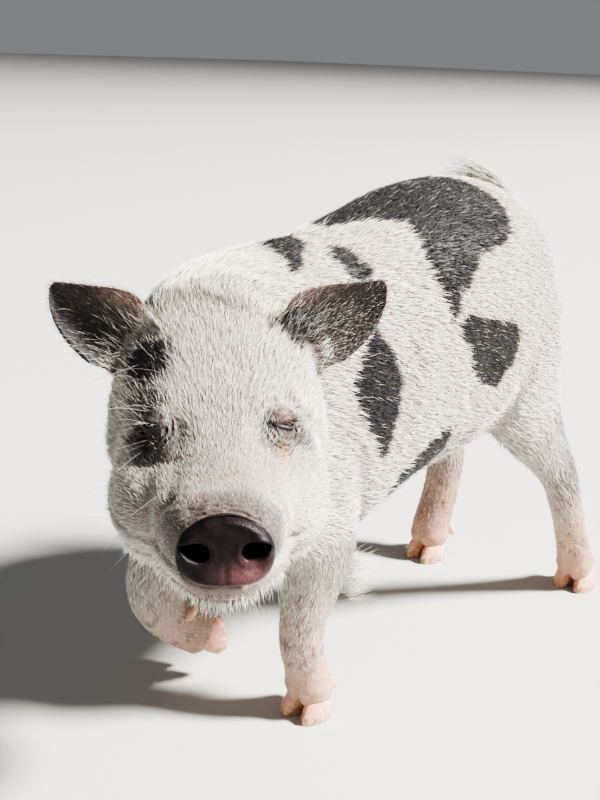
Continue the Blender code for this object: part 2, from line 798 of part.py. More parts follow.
def seat_claws(leg, claws):
    """Cut a socket for each claw into the end of a leg."""
    for piece in claws:
        mesh = piece.data.copy()
        cutter = bpy.data.objects.new("socket", mesh)
        bpy.context.scene.collection.objects.link(cutter)
        swell = cutter.modifiers.new("swell", "DISPLACE")
        swell.mid_level = 0.0
        swell.strength = GAP
        apply_modifiers(cutter)
        boolean(leg, cutter, "DIFFERENCE")
    keep_largest(leg)


def centre_on_floor(items):
    """Move all objects so the box stands centred on the origin."""
    corners = [item.matrix_world @ vert.co for item in items for vert in item.data.vertices]
    low = Vector([min(point[axis] for point in corners) for axis in range(3)])
    high = Vector([max(point[axis] for point in corners) for axis in range(3)])
    shift = Vector((-(low.x + high.x) / 2.0, -(low.y + high.y) / 2.0, -low.z))
    for item in items:
        item.data.transform(Matrix.Translation(shift))


def add_feet(parts):
    """Seat the claws and dewclaws of all four feet and return them."""
    made = []
    for foot in FEET:
        front_or_hind, side_name = foot.split("_")
        leg = ("foreleg_" if front_or_hind == "front" else "hindleg_") + side_name
        inner_side = -1 if side_name == "left" else 1
        claws = []
        for side in (1, -1):
            place = "inner" if side == inner_side else "outer"
            claws.append(claw("hoof_" + foot + "_" + place, foot, side))
            claws.append(dewclaw("dewclaw_" + foot + "_" + place, foot, side))
        seat_claws(parts[leg], claws)
        made += claws
    for piece in made:
        paint(piece, "claw")
    return made


def add_eyes():
    """Eyeballs, each in its socket."""
    eyes = []
    for side, name in ((1, "eye_left"), (-1, "eye_right")):
        eyes.append(ball(name, eye_centre(side), (EYE_RADIUS,) * 3, eye_turn(side)))
        paint(eyes[-1], "eye")
    return eyes


def build():
    """Model the pig."""
    clear_scene()
    core = body_core()
    for side in (1, -1):
        boolean(core, ear(side), "UNION")
    tail = path_tube("tail_core", TAIL, Vector((1.0, 0.0, 0.0)), sides=TAIL_SIDES)
    boolean(core, tail, "UNION")
    carve_face(core)
    part_body(core)
    parts = split_parts(core)
    items = list(parts.values()) + add_feet(parts) + add_eyes()
    fuse_locks(parts["tail"], tail_switch())
    fuse_locks(parts["foreleg_left"], elbow_tuft(1, ELBOW_LEFT))
    fuse_locks(parts["foreleg_right"], elbow_tuft(-1, ELBOW_RIGHT))
    for name, item in parts.items():
        clean(item)
        paint(item, "disc" if name == "snout_disc" else "coat")
    centre_on_floor(items)
    for item in items:
        for face in item.data.polygons:
            face.use_smooth = True


if __name__ == "__main__":
    build()
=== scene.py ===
"""Looks of a young spotted miniature pig that walks with its right foreleg lifted.

The hide is one skin: trunk, neck, skull, jaw and legs are lofted through named
stations and grown into one surface, ears and tail are joined on, and folds,
wrinkles and lids are worked in. The coat is a layer of solid bristles that
follow the lie of the hair. Units are metres, +Z is up, +X is the animal's left
and -Y is the way its body faces.
"""

import logging
import math
from collections.abc import Iterator
from contextlib import contextmanager
from dataclasses import dataclass
from enum import Enum

import bmesh
import bpy
import numpy as np
from mathutils import Matrix, Vector, kdtree

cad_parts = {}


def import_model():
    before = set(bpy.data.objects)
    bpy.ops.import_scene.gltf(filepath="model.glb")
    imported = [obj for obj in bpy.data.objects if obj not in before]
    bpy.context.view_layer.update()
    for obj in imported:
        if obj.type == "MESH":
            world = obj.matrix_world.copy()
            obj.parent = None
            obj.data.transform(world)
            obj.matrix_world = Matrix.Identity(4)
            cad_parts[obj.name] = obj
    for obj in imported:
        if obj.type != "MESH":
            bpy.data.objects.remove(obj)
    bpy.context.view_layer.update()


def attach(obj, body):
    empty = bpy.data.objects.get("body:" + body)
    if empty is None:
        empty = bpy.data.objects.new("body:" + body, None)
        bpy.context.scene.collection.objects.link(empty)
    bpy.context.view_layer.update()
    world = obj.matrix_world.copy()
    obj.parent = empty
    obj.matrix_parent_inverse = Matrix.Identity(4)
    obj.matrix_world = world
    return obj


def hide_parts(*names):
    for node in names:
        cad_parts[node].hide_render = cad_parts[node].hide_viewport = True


LOG = logging.getLogger("pig")
Array = np.ndarray
Row = tuple[float, ...]
Item = bpy.types.Object
Socket = bpy.types.NodeSocket

FLESH_NODES = (
    "torso", "neck", "head", "ear_left", "ear_right", "tail",
    "foreleg_left", "foreleg_right", "hindleg_left", "hindleg_right",
)

# The body's own origin, on the midline beside the left forefoot.
BODY_ORIGIN = Vector((-0.04075, -0.08135, 0.0))


class Part(Enum):
    """Parts of the skin that differ in hair and lie."""

    TRUNK = 0
    NECK = 1
    HEAD = 2
    EAR_LEFT = 3
    EAR_RIGHT = 4
    TAIL = 5
    FORELEG_LEFT = 6
    FORELEG_RIGHT = 7
    HINDLEG_LEFT = 8
    HINDLEG_RIGHT = 9


PART_OF_NODE = dict(zip(FLESH_NODES, Part))
EARS = (Part.EAR_LEFT, Part.EAR_RIGHT)
LEGS = (Part.FORELEG_LEFT, Part.FORELEG_RIGHT, Part.HINDLEG_LEFT, Part.HINDLEG_RIGHT)


# Small helpers


def clear_selection() -> None:
    """Deselect every object."""
    for item in bpy.context.selected_objects:
        item.select_set(False)


def activate(item: Item) -> None:
    """Make one object the only selected and active one."""
    clear_selection()
    item.select_set(True)
    bpy.context.view_layer.objects.active = item


@contextmanager
def editing(item: Item) -> Iterator[None]:
    """Edit mode on one object, with everything selected at first."""
    activate(item)
    bpy.ops.object.mode_set(mode="EDIT")
    bpy.ops.mesh.select_all(action="SELECT")
    yield
    bpy.ops.object.mode_set(mode="OBJECT")


def apply_modifiers(item: Item) -> None:
    """Apply all modifiers of an object in their order."""
    activate(item)
    for modifier in list(item.modifiers):
        bpy.ops.object.modifier_apply(modifier=modifier.name)


def join(items: list[Item], name: str) -> Item:
    """Join objects into the first one.

    Args:
        items: Mesh objects, at least one.
        name: Name of the joined object.

    Returns:
        The joined object.
    """
    activate(items[0])
    for item in items:
        item.select_set(True)
    if len(items) > 1:
        bpy.ops.object.join()
    items[0].name = name
    items[0].data.name = name
    return items[0]


def boolean(item: Item, other: Item, operation: str) -> None:
    """Apply a Boolean of another closed object, which is then removed.

    Args:
        item: Object that is changed.
        other: Object that is added or cut away.
        operation: UNION or DIFFERENCE.
    """
    modifier = item.modifiers.new(operation.lower(), "BOOLEAN")
    modifier.operation = operation
    modifier.solver = "MANIFOLD"
    modifier.object = other
    apply_modifiers(item)
    bpy.data.objects.remove(other, do_unlink=True)


def new_object(name: str, data: bpy.types.ID) -> Item:
    """Object of a mesh, camera or light, linked to the scene."""
    item = bpy.data.objects.new(name, data)
    bpy.context.scene.collection.objects.link(item)
    return item


def object_from(name: str, mesh_data: bmesh.types.BMesh) -> Item:
    """Store edit data as an object whose faces point outward.

    Args:
        name: Name of the object.
        mesh_data: Edit data, which is freed.

    Returns:
        The new object, linked to the scene.
    """
    bmesh.ops.recalc_face_normals(mesh_data, faces=mesh_data.faces)
    mesh = bpy.data.meshes.new(name)
    mesh_data.to_mesh(mesh)
    mesh_data.free()
    return new_object(name, mesh)


def places_of(mesh: bpy.types.Mesh) -> Array:
    """Vertex places of a mesh as an array of N by 3."""
    places = np.empty(len(mesh.vertices) * 3)
    mesh.vertices.foreach_get("co", places)
    return places.reshape(-1, 3)


def set_places(mesh: bpy.types.Mesh, places: Array) -> None:
    """Write vertex places back to a mesh."""
    mesh.vertices.foreach_set("co", places.ravel())
    mesh.update()


def normals_of(mesh: bpy.types.Mesh) -> Array:
    """Vertex normals of a mesh as an array of N by 3."""
    normals = np.empty(len(mesh.vertices) * 3, dtype=np.float32)
    mesh.vertex_normals.foreach_get("vector", normals)
    return normals.reshape(-1, 3).astype(float)


def store(mesh: bpy.types.Mesh, name: str, values: Array) -> None:
    """Keep one value for each vertex, for the materials."""
    layer = mesh.attributes.new(name, "FLOAT", "POINT")
    layer.data.foreach_set("value", values.astype(np.float32))


def among(parts: Array, *chosen: Part) -> Array:
    """Whether each value is that of one of the chosen parts."""
    return np.isin(parts, [part.value for part in chosen])


def distance(places: Array, centre: Row | Array) -> Array:
    """Distance of points to one point."""
    return np.linalg.norm(places - np.array(centre), axis=1)


def unit(vectors: Array) -> Array:
    """Vectors of an array brought to length one."""
    length = np.linalg.norm(vectors, axis=-1, keepdims=True)
    return vectors / np.maximum(length, 1e-9)


def smoothstep(low: float, high: float, value: Array) -> Array:
    """Soft step from 0 at low to 1 at high."""
    share = np.clip((value - low) / (high - low), 0.0, 1.0)
    return share * share * (3.0 - 2.0 * share)


def bell(distance: Array, width: float) -> Array:
    """Bell curve that is 1 at no distance."""
    return np.exp(-((distance / width) ** 2))


def mottle(places: Array, size: float, seed: int) -> Array:
    """Smooth noise between about -1 and 1.

    Args:
        places: Points, N by 3.
        size: Rough size of a blotch in metres.
        seed: Seed of the pattern.

    Returns:
        One value for each point.
    """
    rng = np.random.default_rng(seed)
    ways = unit(rng.normal(size=(9, 3))) * (2.0 * math.pi / size)
    ways *= rng.uniform(0.45, 1.5, size=(9, 1))
    waves = np.sin(places @ ways.T + rng.uniform(0.0, 2.0 * math.pi, 9))
    bent = np.sin(places @ ways[::-1].T * 0.7 + 2.0 * waves)
    return (waves + bent).sum(axis=1) / 7.0


def along_path(places: Array, path: Array) -> tuple[Array, Array]:
    """Distance of points to a path, and their share along it.

    Args:
        places: Points, N by D.
        path: Corners of the path, M by D.

    Returns:
        Distance, and share of the path from 0 to 1.
    """
    best = np.full(len(places), np.inf)
    share = np.zeros(len(places))
    last = len(path) - 1
    for index in range(last):
        start, run = path[index], path[index + 1] - path[index]
        along = np.clip((places - start) @ run / (run @ run), 0.0, 1.0)
        gap = np.linalg.norm(places - start - along[:, None] * run, axis=1)
        nearer = gap < best
        best = np.where(nearer, gap, best)
        share = np.where(nearer, (index + along) / last, share)
    return best, share


def finer(table: tuple[Row, ...], count: int) -> list[Row]:
    """Rows of a table on a smooth curve through its own rows.

    Args:
        table: Rows of equal length.
        count: Rows between two given ones, with the first of the two.

    Returns:
        The denser table.
    """
    rows = np.array(table)
    ends = np.vstack((2.0 * rows[0] - rows[1], rows, 2.0 * rows[-1] - rows[-2]))
    dense = []
    for index in range(1, len(rows)):
        before, start, end, after = ends[index - 1 : index + 3]
        for step in range(count):
            t = step / count
            blend = 2.0 * start + (end - before) * t
            blend += (2.0 * before - 5.0 * start + 4.0 * end - after) * t * t
            blend += (3.0 * start - before - 3.0 * end + after) * t * t * t
            dense.append(tuple(blend / 2.0))
    dense.append(tuple(rows[-1]))
    return dense


# Frames and tubes


@dataclass(frozen=True)
class SkullFrame:
    """Place and turn of the head; its origin lies between the eyes."""

    brow: Row = (0.0865, -0.127, 0.2616)
    yaw: float = math.radians(49.5)
    roll: float = math.radians(1.2)

    def matrix(self) -> Matrix:
        """Frame with X to the animal's left, Y backward and Z up."""
        turn = Matrix.Rotation(self.yaw, 4, "Z") @ Matrix.Rotation(-self.roll, 4, "Y")
        return Matrix.Translation(Vector(self.brow) + BODY_ORIGIN) @ turn

    def axes(self) -> Array:
        """Rows: the animal's left, forward and up."""
        turn = np.array(self.matrix().to_3x3())
        return np.array((turn[:, 0], -turn[:, 1], turn[:, 2]))

    def point(self, across: float, forward: float, rise: float) -> Vector:
        """Scene place of a point of the skull."""
        return self.matrix() @ Vector((across, -forward, rise))

    def read(self, places: Array) -> Array:
        """Across, forward and rise of scene places."""
        origin = np.array(self.matrix().translation)
        return (places - origin) @ self.axes().T

    def scene(self, readings: Array) -> Array:
        """Scene places of across, forward and rise."""
        return readings @ self.axes() + np.array(self.matrix().translation)


SKULL_FRAME = SkullFrame()


def squared(angle: float, power: float) -> tuple[float, float]:
    """Unit point of a rounded square at an angle."""
    cosine, sine = math.cos(angle), math.sin(angle)
    return (
        math.copysign(abs(cosine) ** (2.0 / power), cosine),
        math.copysign(abs(sine) ** (2.0 / power), sine),
    )


def ring(frame: Matrix, size: Row, sides: int, power: float) -> list[Vector]:
    """Points of one cross-section.

    Args:
        frame: Frame of the section, which lies in its X-Y plane.
        size: Half width, rise above the centre and drop below it.
        sides: Number of points.
        power: 2 for an ellipse, more for a squarer form.

    Returns:
        The points in order.
    """
    half_width, rise, drop = size
    points = []
    for index in range(sides):
        across, up = squared(2.0 * math.pi * index / sides, power)
        height = up * (rise if up > 0.0 else drop)
        points.append(frame @ Vector((across * half_width, height, 0.0)))
    return points


def loft(name: str, rings: list[list[Vector]]) -> Item:
    """Bridge rings of equal count into one closed tube.

    Args:
        name: Name of the tube.
        rings: Cross-sections in order.

    Returns:
        The tube.
    """
    mesh_data = bmesh.new()
    loops = []
    for points in rings:
        corners = [mesh_data.verts.new(point) for point in points]
        count = len(corners)
        pairs = [(corners[i], corners[(i + 1) % count]) for i in range(count)]
        loops.append([mesh_data.edges.new(pair) for pair in pairs])
    for first, second in zip(loops, loops[1:]):
        bmesh.ops.bridge_loops(mesh_data, edges=first + second)
    for loop in (loops[0], loops[-1]):
        bmesh.ops.contextual_create(mesh_data, geom=loop)
    return object_from(name, mesh_data)


def frame_at(centre: Vector, along: Vector, across_hint: Vector) -> Matrix:
    """Frame whose Z runs along a path and whose X lies near a hint."""
    along = along.normalized()
    up = along.cross(across_hint).normalized()
    across = up.cross(along)
    return Matrix.Translation(centre) @ Matrix((across, up, along)).transposed().to_4x4()


def path_tube(name: str, stations: list[Row], sides: int, power: float) -> Item:
    """Tube through body stations of x, y, z, half width and half depth.

    Args:
        name: Name of the tube.
        stations: Stations in the body's own frame.
        sides: Corners of each ring.
        power: Squareness of the rings.

    Returns:
        The tube.
    """
    centres = [Vector(station[:3]) + BODY_ORIGIN for station in stations]
    rings = []
    last = len(centres) - 1
    for index, station in enumerate(stations):
        along = centres[min(index + 1, last)] - centres[max(index - 1, 0)]
        frame = frame_at(centres[index], along, Vector((1.0, 0.0, 0.0)))
        size = (station[3], station[-1], station[-1])
        rings.append(ring(frame, size, sides, power))
    return loft(name, rings)


def ball(name: str, frame: Matrix, radii: Row) -> Item:
    """Ellipsoid set in a frame.

    Args:
        name: Name of the ellipsoid.
        frame: Its place and turn.
        radii: Its three radii.

    Returns:
        The ellipsoid.
    """
    clear_selection()
    bpy.ops.mesh.primitive_uv_sphere_add(segments=40, ring_count=24, radius=1.0)
    item = bpy.context.active_object
    item.name = name
    item.data.transform(frame @ Matrix.Diagonal((*radii, 1.0)))
    return item


@dataclass
class EarForm:
    """Cupped leaf of an ear, open to the front."""

    root: Row = (0.054, -0.054, 0.032)
    tip: Row = (0.1035, -0.066, 0.0715)
    skew: float = 0.003
    open_way: Row = (0.18, -1.0, 0.12)
    wall: float = 0.0016
    columns: int = 21
    # Stations: share of the length, widths on the lower and upper side, depth of the cup.
    stations: tuple[Row, ...] = (
        (-0.26, 0.015, 0.018, 0.01),
        (0.0, 0.0215, 0.0275, 0.013),
        (0.15, 0.0225, 0.03, 0.014),
        (0.33, 0.0228, 0.029, 0.013),
        (0.53, 0.0215, 0.023, 0.01),
        (0.72, 0.018, 0.0145, 0.0075),
        (0.87, 0.012, 0.008, 0.0045),
        (0.96, 0.006, 0.004, 0.0025),
        (1.0, 0.002, 0.0015, 0.001),
    )

    def axis(self, side: int) -> tuple[Vector, Vector]:
        """Root and tip of an ear in the scene."""
        root = SKULL_FRAME.point(side * self.root[0], self.root[1], self.root[2])
        tip = SKULL_FRAME.point(side * self.tip[0] + self.skew, self.tip[1], self.tip[2])
        return root, tip

    def frame(self, side: int) -> tuple[Vector, Vector, Vector]:
        """Length, across and front directions of an ear."""
        root, tip = self.axis(side)
        aside, ahead, up = self.open_way
        along = tip - root
        front = SKULL_FRAME.matrix().to_3x3() @ Vector((side * aside, ahead, up))
        across = along.cross(front).normalized()
        return along, across, across.cross(along).normalized()

    def read(self, places: Array, side: int) -> tuple[Array, Array]:
        """Share of an ear's length and of its half width at scene places."""
        root, _ = self.axis(side)
        along, across, _ = (np.array(way) for way in self.frame(side))
        gap = places - np.array(root)
        share = gap @ along / (along @ along)
        rows = np.array(self.stations)
        beside = gap @ across * side
        lower, upper = (np.interp(share, rows[:, 0], rows[:, column]) for column in (1, 2))
        return share, beside / np.where(beside > 0.0, lower, upper)

    def build(self, side: int) -> Item:
        """Make the closed leaf.

        Args:
            side: 1 for the left ear, -1 for the right.

        Returns:
            The ear, to be joined to the head.
        """
        root, _ = self.axis(side)
        along, across, front = self.frame(side)
        rings = []
        for share, lower, upper, depth in finer(self.stations, 4):
            outer, inner = [], []
            for index in range(self.columns):
                t = -1.0 + 2.0 * index / (self.columns - 1)
                cup = depth * (1.0 - t * t)
                ridge = 0.0009 * math.cos(3.0 * math.pi * t) * (1.0 - t * t) * (1.0 - share)
                wall = self.wall * (1.0 - 0.45 * t * t) * (1.55 - share)
                width = lower if t * side > 0.0 else upper
                place = root + along * share + across * (t * width)
                outer.append(place - front * (cup + wall))
                inner.append(place - front * (cup - wall + ridge))
            rings.append(outer + inner[::-1])
        return loft("ear", rings)


EAR = EarForm()


# Finishes


class Nodes:
    """Short way to lay out the nodes of one material."""

    BUMP_STRENGTH = 0.5

    def __init__(self, name: str) -> None:
        """Start a material with a Principled shader."""
        self.material = bpy.data.materials.new(name)
        self.material.use_nodes = True
        self.tree = self.material.node_tree
        self.shader = self.tree.nodes["Principled BSDF"]

    def feed(self, socket: Socket, value: Socket | float | Row) -> None:
        """Join an input to another socket, or give it a plain value."""
        if isinstance(value, Socket):
            self.tree.links.new(value, socket)
        else:
            socket.default_value = (*value, 1.0) if socket.type == "RGBA" else value

    def shade(self, name: str, value: Socket | float | Row) -> None:
        """Feed one input of the shader."""
        self.feed(self.shader.inputs[name], value)

    def add(self, kind: str, values: dict[str | int, Socket | float]) -> bpy.types.Node:
        """New node with some of its inputs fed."""
        node = self.tree.nodes.new("ShaderNode" + kind)
        for name, value in values.items():
            self.feed(node.inputs[name], value)
        return node

    def place(self) -> Socket:
        """The object's own coordinates."""
        return self.add("TexCoord", {}).outputs["Object"]

    def attribute(self, name: str) -> Socket:
        """Value of a mesh attribute."""
        node = self.add("Attribute", {})
        node.attribute_name = name
        return node.outputs["Fac"]

    def noise(self, scale: float, detail: float = 3.0, rough: float = 0.5) -> Socket:
        """Noise on the object's own coordinates."""
        values = {"Vector": self.place(), "Scale": scale, "Detail": detail, "Roughness": rough}
        return self.add("TexNoise", values).outputs["Fac"]

    def cells(self, scale: float) -> Socket:
        """Distance of a cell pattern on the object's own coordinates."""
        return self.add("TexVoronoi", {"Vector": self.place(), "Scale": scale}).outputs["Distance"]

    def span(self, value: Socket, source: Row, target: Row) -> Socket:
        """Value moved from one range to another, clamped."""
        names = ("From Min", "From Max", "To Min", "To Max")
        values = {"Value": value, **dict(zip(names, (*source, *target)))}
        return self.add("MapRange", values).outputs["Result"]

    def times(self, first: Socket, second: Socket) -> Socket:
        """Product of two values."""
        node = self.add("Math", {0: first, 1: second})
        node.operation = "MULTIPLY"
        return node.outputs[0]

    def mix(self, share: Socket, first: Socket | Row, second: Socket | Row) -> Socket:
        """Colour mixed from two colours, each a socket or a plain colour."""
        node = self.add("Mix", {})
        node.data_type = "RGBA"
        for name, value in (("Factor", share), (6, first), (7, second)):
            self.feed(node.inputs[name], value)
        return node.outputs[2]

    def bump(self, height: Socket, depth: float, under: Socket | None = None) -> Socket:
        """Bump of a height in metres over an earlier normal."""
        values = {"Distance": depth, "Strength": self.BUMP_STRENGTH, "Height": height}
        if under is not None:
            values["Normal"] = under
        return self.add("Bump", values).outputs["Normal"]

    def finish(self, colour: Socket, rough: Socket | float) -> bpy.types.Material:
        """Feed colour and roughness to the shader and give the material."""
        self.shade("Base Color", colour)
        self.shade("Roughness", rough)
        return self.material


@dataclass(frozen=True)
class HideFinish:
    """Skin: pale and pink under the white hair, slate in the patches. The pale is darkened as painted shade
    between the hairs.
    """

    # Greyish pale under the white hair: the skin's colour darkened as painted shade between the hairs.
    pale: Row = (0.4, 0.35, 0.315)
    pink: Row = (0.52, 0.275, 0.185)
    # Dark grey of grey skin, also used as painted shade on the face.
    dusk: Row = (0.08, 0.06, 0.057)
    slate: Row = (0.03, 0.028, 0.03)
    rust: Row = (0.46, 0.24, 0.085)

    def material(self) -> bpy.types.Material:
        """Make the material."""
        nodes = Nodes("hide")
        blotch = nodes.span(nodes.noise(90.0), (0.35, 0.7), (0.0, 1.0))
        flush = nodes.times(nodes.attribute("flush"), nodes.span(blotch, (0.0, 1.0), (0.75, 1.0)))
        colour = nodes.mix(flush, self.pale, self.pink)
        speck = nodes.span(nodes.noise(420.0, 2.0), (0.3, 0.7), (0.82, 1.0))
        # Grey skin, and painted shade on the face's right side and between the face's hairs.
        dusk = nodes.times(nodes.attribute("dusk"), speck)
        colour = nodes.mix(dusk, colour, self.dusk)
        colour = nodes.mix(nodes.attribute("pigment"), colour, self.slate)
        crumbs = nodes.span(nodes.noise(650.0, 4.0, 0.65), (0.44, 0.58), (0.1, 1.0))
        colour = nodes.mix(nodes.times(nodes.attribute("rust"), crumbs), colour, self.rust)
        fine = nodes.bump(nodes.cells(900.0), 0.0004)
        folds = nodes.bump(nodes.noise(260.0, 4.0, 0.6), 0.0008, fine)
        nodes.shade("Normal", folds)
        nodes.shade("Specular IOR Level", 0.25)
        nodes.shade("Subsurface Weight", 0.1)
        nodes.shade("Subsurface Radius", (0.006, 0.002, 0.001))
        nodes.shade("Subsurface Scale", 0.6)
        return nodes.finish(colour, nodes.span(nodes.noise(300.0), (0.3, 0.7), (0.46, 0.66)))


@dataclass(frozen=True)
class CoatFinish:
    """Bristles: cream white and darker towards the root as painted shade, or black with a painted grey sheen.
    """

    # Grey of the bristle roots: painted shade among the hairs, and the colour of randomly greyer bristles.
    root: Row = (0.27, 0.25, 0.225)
    tip: Row = (0.97, 0.945, 0.87)
    # Cream of some white bristles; on the beard it is partly painted glow of light through the bristles.
    cream: Row = (0.84, 0.72, 0.5)
    black: Row = (0.01, 0.0095, 0.01)
    # Painted sheen: grey standing in for light glancing off shiny black hair.
    painted_sheen: Row = (0.048, 0.047, 0.051)
    rust: Row = (0.56, 0.31, 0.11)

    def material(self) -> bpy.types.Material:
        """Make the material."""
        nodes = Nodes("coat")
        along = nodes.attribute("along")
        tone = nodes.attribute("tone")
        # Painted shade among the hairs: each white bristle darkens from tip to root.
        white = nodes.mix(nodes.span(along, (0.05, 0.75), (0.0, 1.0)), self.root, self.tip)
        white = nodes.mix(nodes.span(tone, (0.05, 0.4), (0.5, 0.0)), white, self.root)
        white = nodes.mix(nodes.span(tone, (0.62, 1.0), (0.0, 0.8)), white, self.cream)
        # Black bristles take a random share of the painted grey sheen.
        dark = nodes.mix(nodes.span(tone, (0.0, 1.0), (0.0, 0.9)), self.black, self.painted_sheen)
        white = nodes.mix(nodes.attribute("rust"), white, self.rust)
        colour = nodes.mix(nodes.attribute("pigment"), white, dark)
        nodes.shade("Specular IOR Level", 0.45)
        return nodes.finish(colour, nodes.span(tone, (0.0, 1.0), (0.34, 0.52)))


@dataclass(frozen=True)
class SnoutFinish:
    """Nose disc: bare maroon skin, moist, pinker on its lower left as a painted highlight, near black in the
    nostrils as painted shade.
    """

    maroon: Row = (0.01, 0.006, 0.008)
    plum: Row = (0.024, 0.016, 0.018)
    # Painted highlight: pink where light falls on the moist disc.
    pink: Row = (0.28, 0.135, 0.138)
    # Near black inside the nostrils: painted shade in the pits and on their walls.
    depth: Row = (0.006, 0.002, 0.003)

    def material(self) -> bpy.types.Material:
        """Make the material."""
        nodes = Nodes("snout")
        patch = nodes.span(nodes.noise(120.0, 4.0), (0.35, 0.68), (0.0, 1.0))
        colour = nodes.mix(patch, self.maroon, self.plum)
        uneven = nodes.span(nodes.noise(380.0), (0.3, 0.6), (0.55, 1.0))
        # Painted highlight on the lower left of the disc.
        flush = nodes.times(nodes.attribute("flush"), uneven)
        colour = nodes.mix(flush, colour, self.pink)
        # Painted shade in the nostrils.
        colour = nodes.mix(nodes.attribute("inside"), colour, self.depth)
        pores = nodes.bump(nodes.cells(1500.0), 0.00025)
        creases = nodes.bump(nodes.noise(520.0, 3.0, 0.6), 0.0005, pores)
        nodes.shade("Normal", creases)
        nodes.shade("Specular IOR Level", 0.16)
        return nodes.finish(colour, nodes.span(nodes.noise(500.0), (0.3, 0.7), (0.34, 0.52)))


@dataclass(frozen=True)
class EyeFinish:
    """Eyeball: dark pupil, hazel iris, dusky white."""

    pupil: Row = (0.004, 0.003, 0.003)
    hazel: Row = (0.04, 0.02, 0.01)
    brown: Row = (0.012, 0.007, 0.005)
    white: Row = (0.09, 0.055, 0.042)

    def material(self) -> bpy.types.Material:
        """Make the material."""
        nodes = Nodes("eye")
        gaze = nodes.attribute("gaze")
        fibre = nodes.span(nodes.noise(1400.0, 4.0), (0.35, 0.65), (0.0, 1.0))
        iris = nodes.mix(fibre, self.brown, self.hazel)
        iris = nodes.mix(nodes.span(gaze, (0.5, 0.6), (0.0, 1.0)), iris, self.brown)
        colour = nodes.mix(nodes.span(gaze, (0.2, 0.24), (1.0, 0.0)), iris, self.pupil)
        colour = nodes.mix(nodes.span(gaze, (0.6, 0.68), (0.0, 1.0)), colour, self.white)
        nodes.shade("Specular IOR Level", 0.35)
        nodes.shade("Coat Weight", 0.3)
        nodes.shade("Coat Roughness", 0.05)
        return nodes.finish(colour, 0.25)


@dataclass(frozen=True)
class ClawFinish:
    """Horn of the claws: orange pink, smudged dark towards the edge."""

    horn: Row = (0.72, 0.34, 0.22)
    pale: Row = (0.76, 0.5, 0.37)
    smudge: Row = (0.22, 0.14, 0.1)

    def material(self) -> bpy.types.Material:
        """Make the material."""
        nodes = Nodes("claw")
        band = nodes.span(nodes.noise(160.0, 4.0), (0.35, 0.65), (0.0, 1.0))
        colour = nodes.mix(band, self.horn, self.pale)
        smears = nodes.span(nodes.noise(300.0, 5.0), (0.42, 0.62), (0.1, 0.85))
        colour = nodes.mix(nodes.times(nodes.attribute("wear"), smears), colour, self.smudge)
        ridges = nodes.bump(nodes.noise(700.0, 2.0), 0.0003)
        nodes.shade("Normal", ridges)
        return nodes.finish(colour, nodes.span(nodes.noise(400.0), (0.3, 0.7), (0.36, 0.6)))


@dataclass(frozen=True)
class FloorFinish:
    """Plain pale studio floor."""

    colour: Row = (0.52, 0.515, 0.5)

    def material(self) -> bpy.types.Material:
        """Make the material."""
        nodes = Nodes("floor")
        tint = nodes.mix(nodes.noise(3.0), self.colour, tuple(0.97 * c for c in self.colour))
        return nodes.finish(tint, 0.85)


# Markings


@dataclass(frozen=True)
class Patch:
    """Black patch on the trunk, as an outline of y and degrees from the spine.

    The margin, in metres, lets the patch reach past its outline.
    """

    name: str
    outline: tuple[Row, ...]
    margin: float = 0.0

    def depth(self, chart: Array) -> Array:
        """Distance inside the outline, negative outside.

        Args:
            chart: Unrolled places, N by 2.

        Returns:
            One distance for each place.
        """
        corners = TrunkChart.of_outline(self.outline)
        closed = np.vstack((corners, corners[:1]))
        gap, _ = along_path(chart, closed)
        inside = np.zeros(len(chart), dtype=bool)
        for start, end in zip(closed, closed[1:]):
            spans = (start[1] > chart[:, 1]) != (end[1] > chart[:, 1])
            rise = end[1] - start[1]
            cross = start[0] + (chart[:, 1] - start[1]) * (end[0] - start[0]) / (rise or 1e-9)
            inside ^= spans & (chart[:, 0] < cross)
        return np.where(inside, gap, -gap) + self.margin


class TrunkChart:
    """Unrolled map of the trunk: length along the body, arc from the spine."""

    AXIS_X = BODY_ORIGIN.x
    AXIS_Z = 0.26
    RADIUS = 0.09

    @classmethod
    def read(cls, places: Array) -> Array:
        """Chart places of scene places."""
        angle = np.arctan2(places[:, 0] - cls.AXIS_X, places[:, 2] - cls.AXIS_Z)
        return np.column_stack((places[:, 1], angle * cls.RADIUS))

    @classmethod
    def of_outline(cls, outline: tuple[Row, ...]) -> Array:
        """Chart places of an outline given in degrees."""
        return np.array([(y, math.radians(angle) * cls.RADIUS) for y, angle in outline])


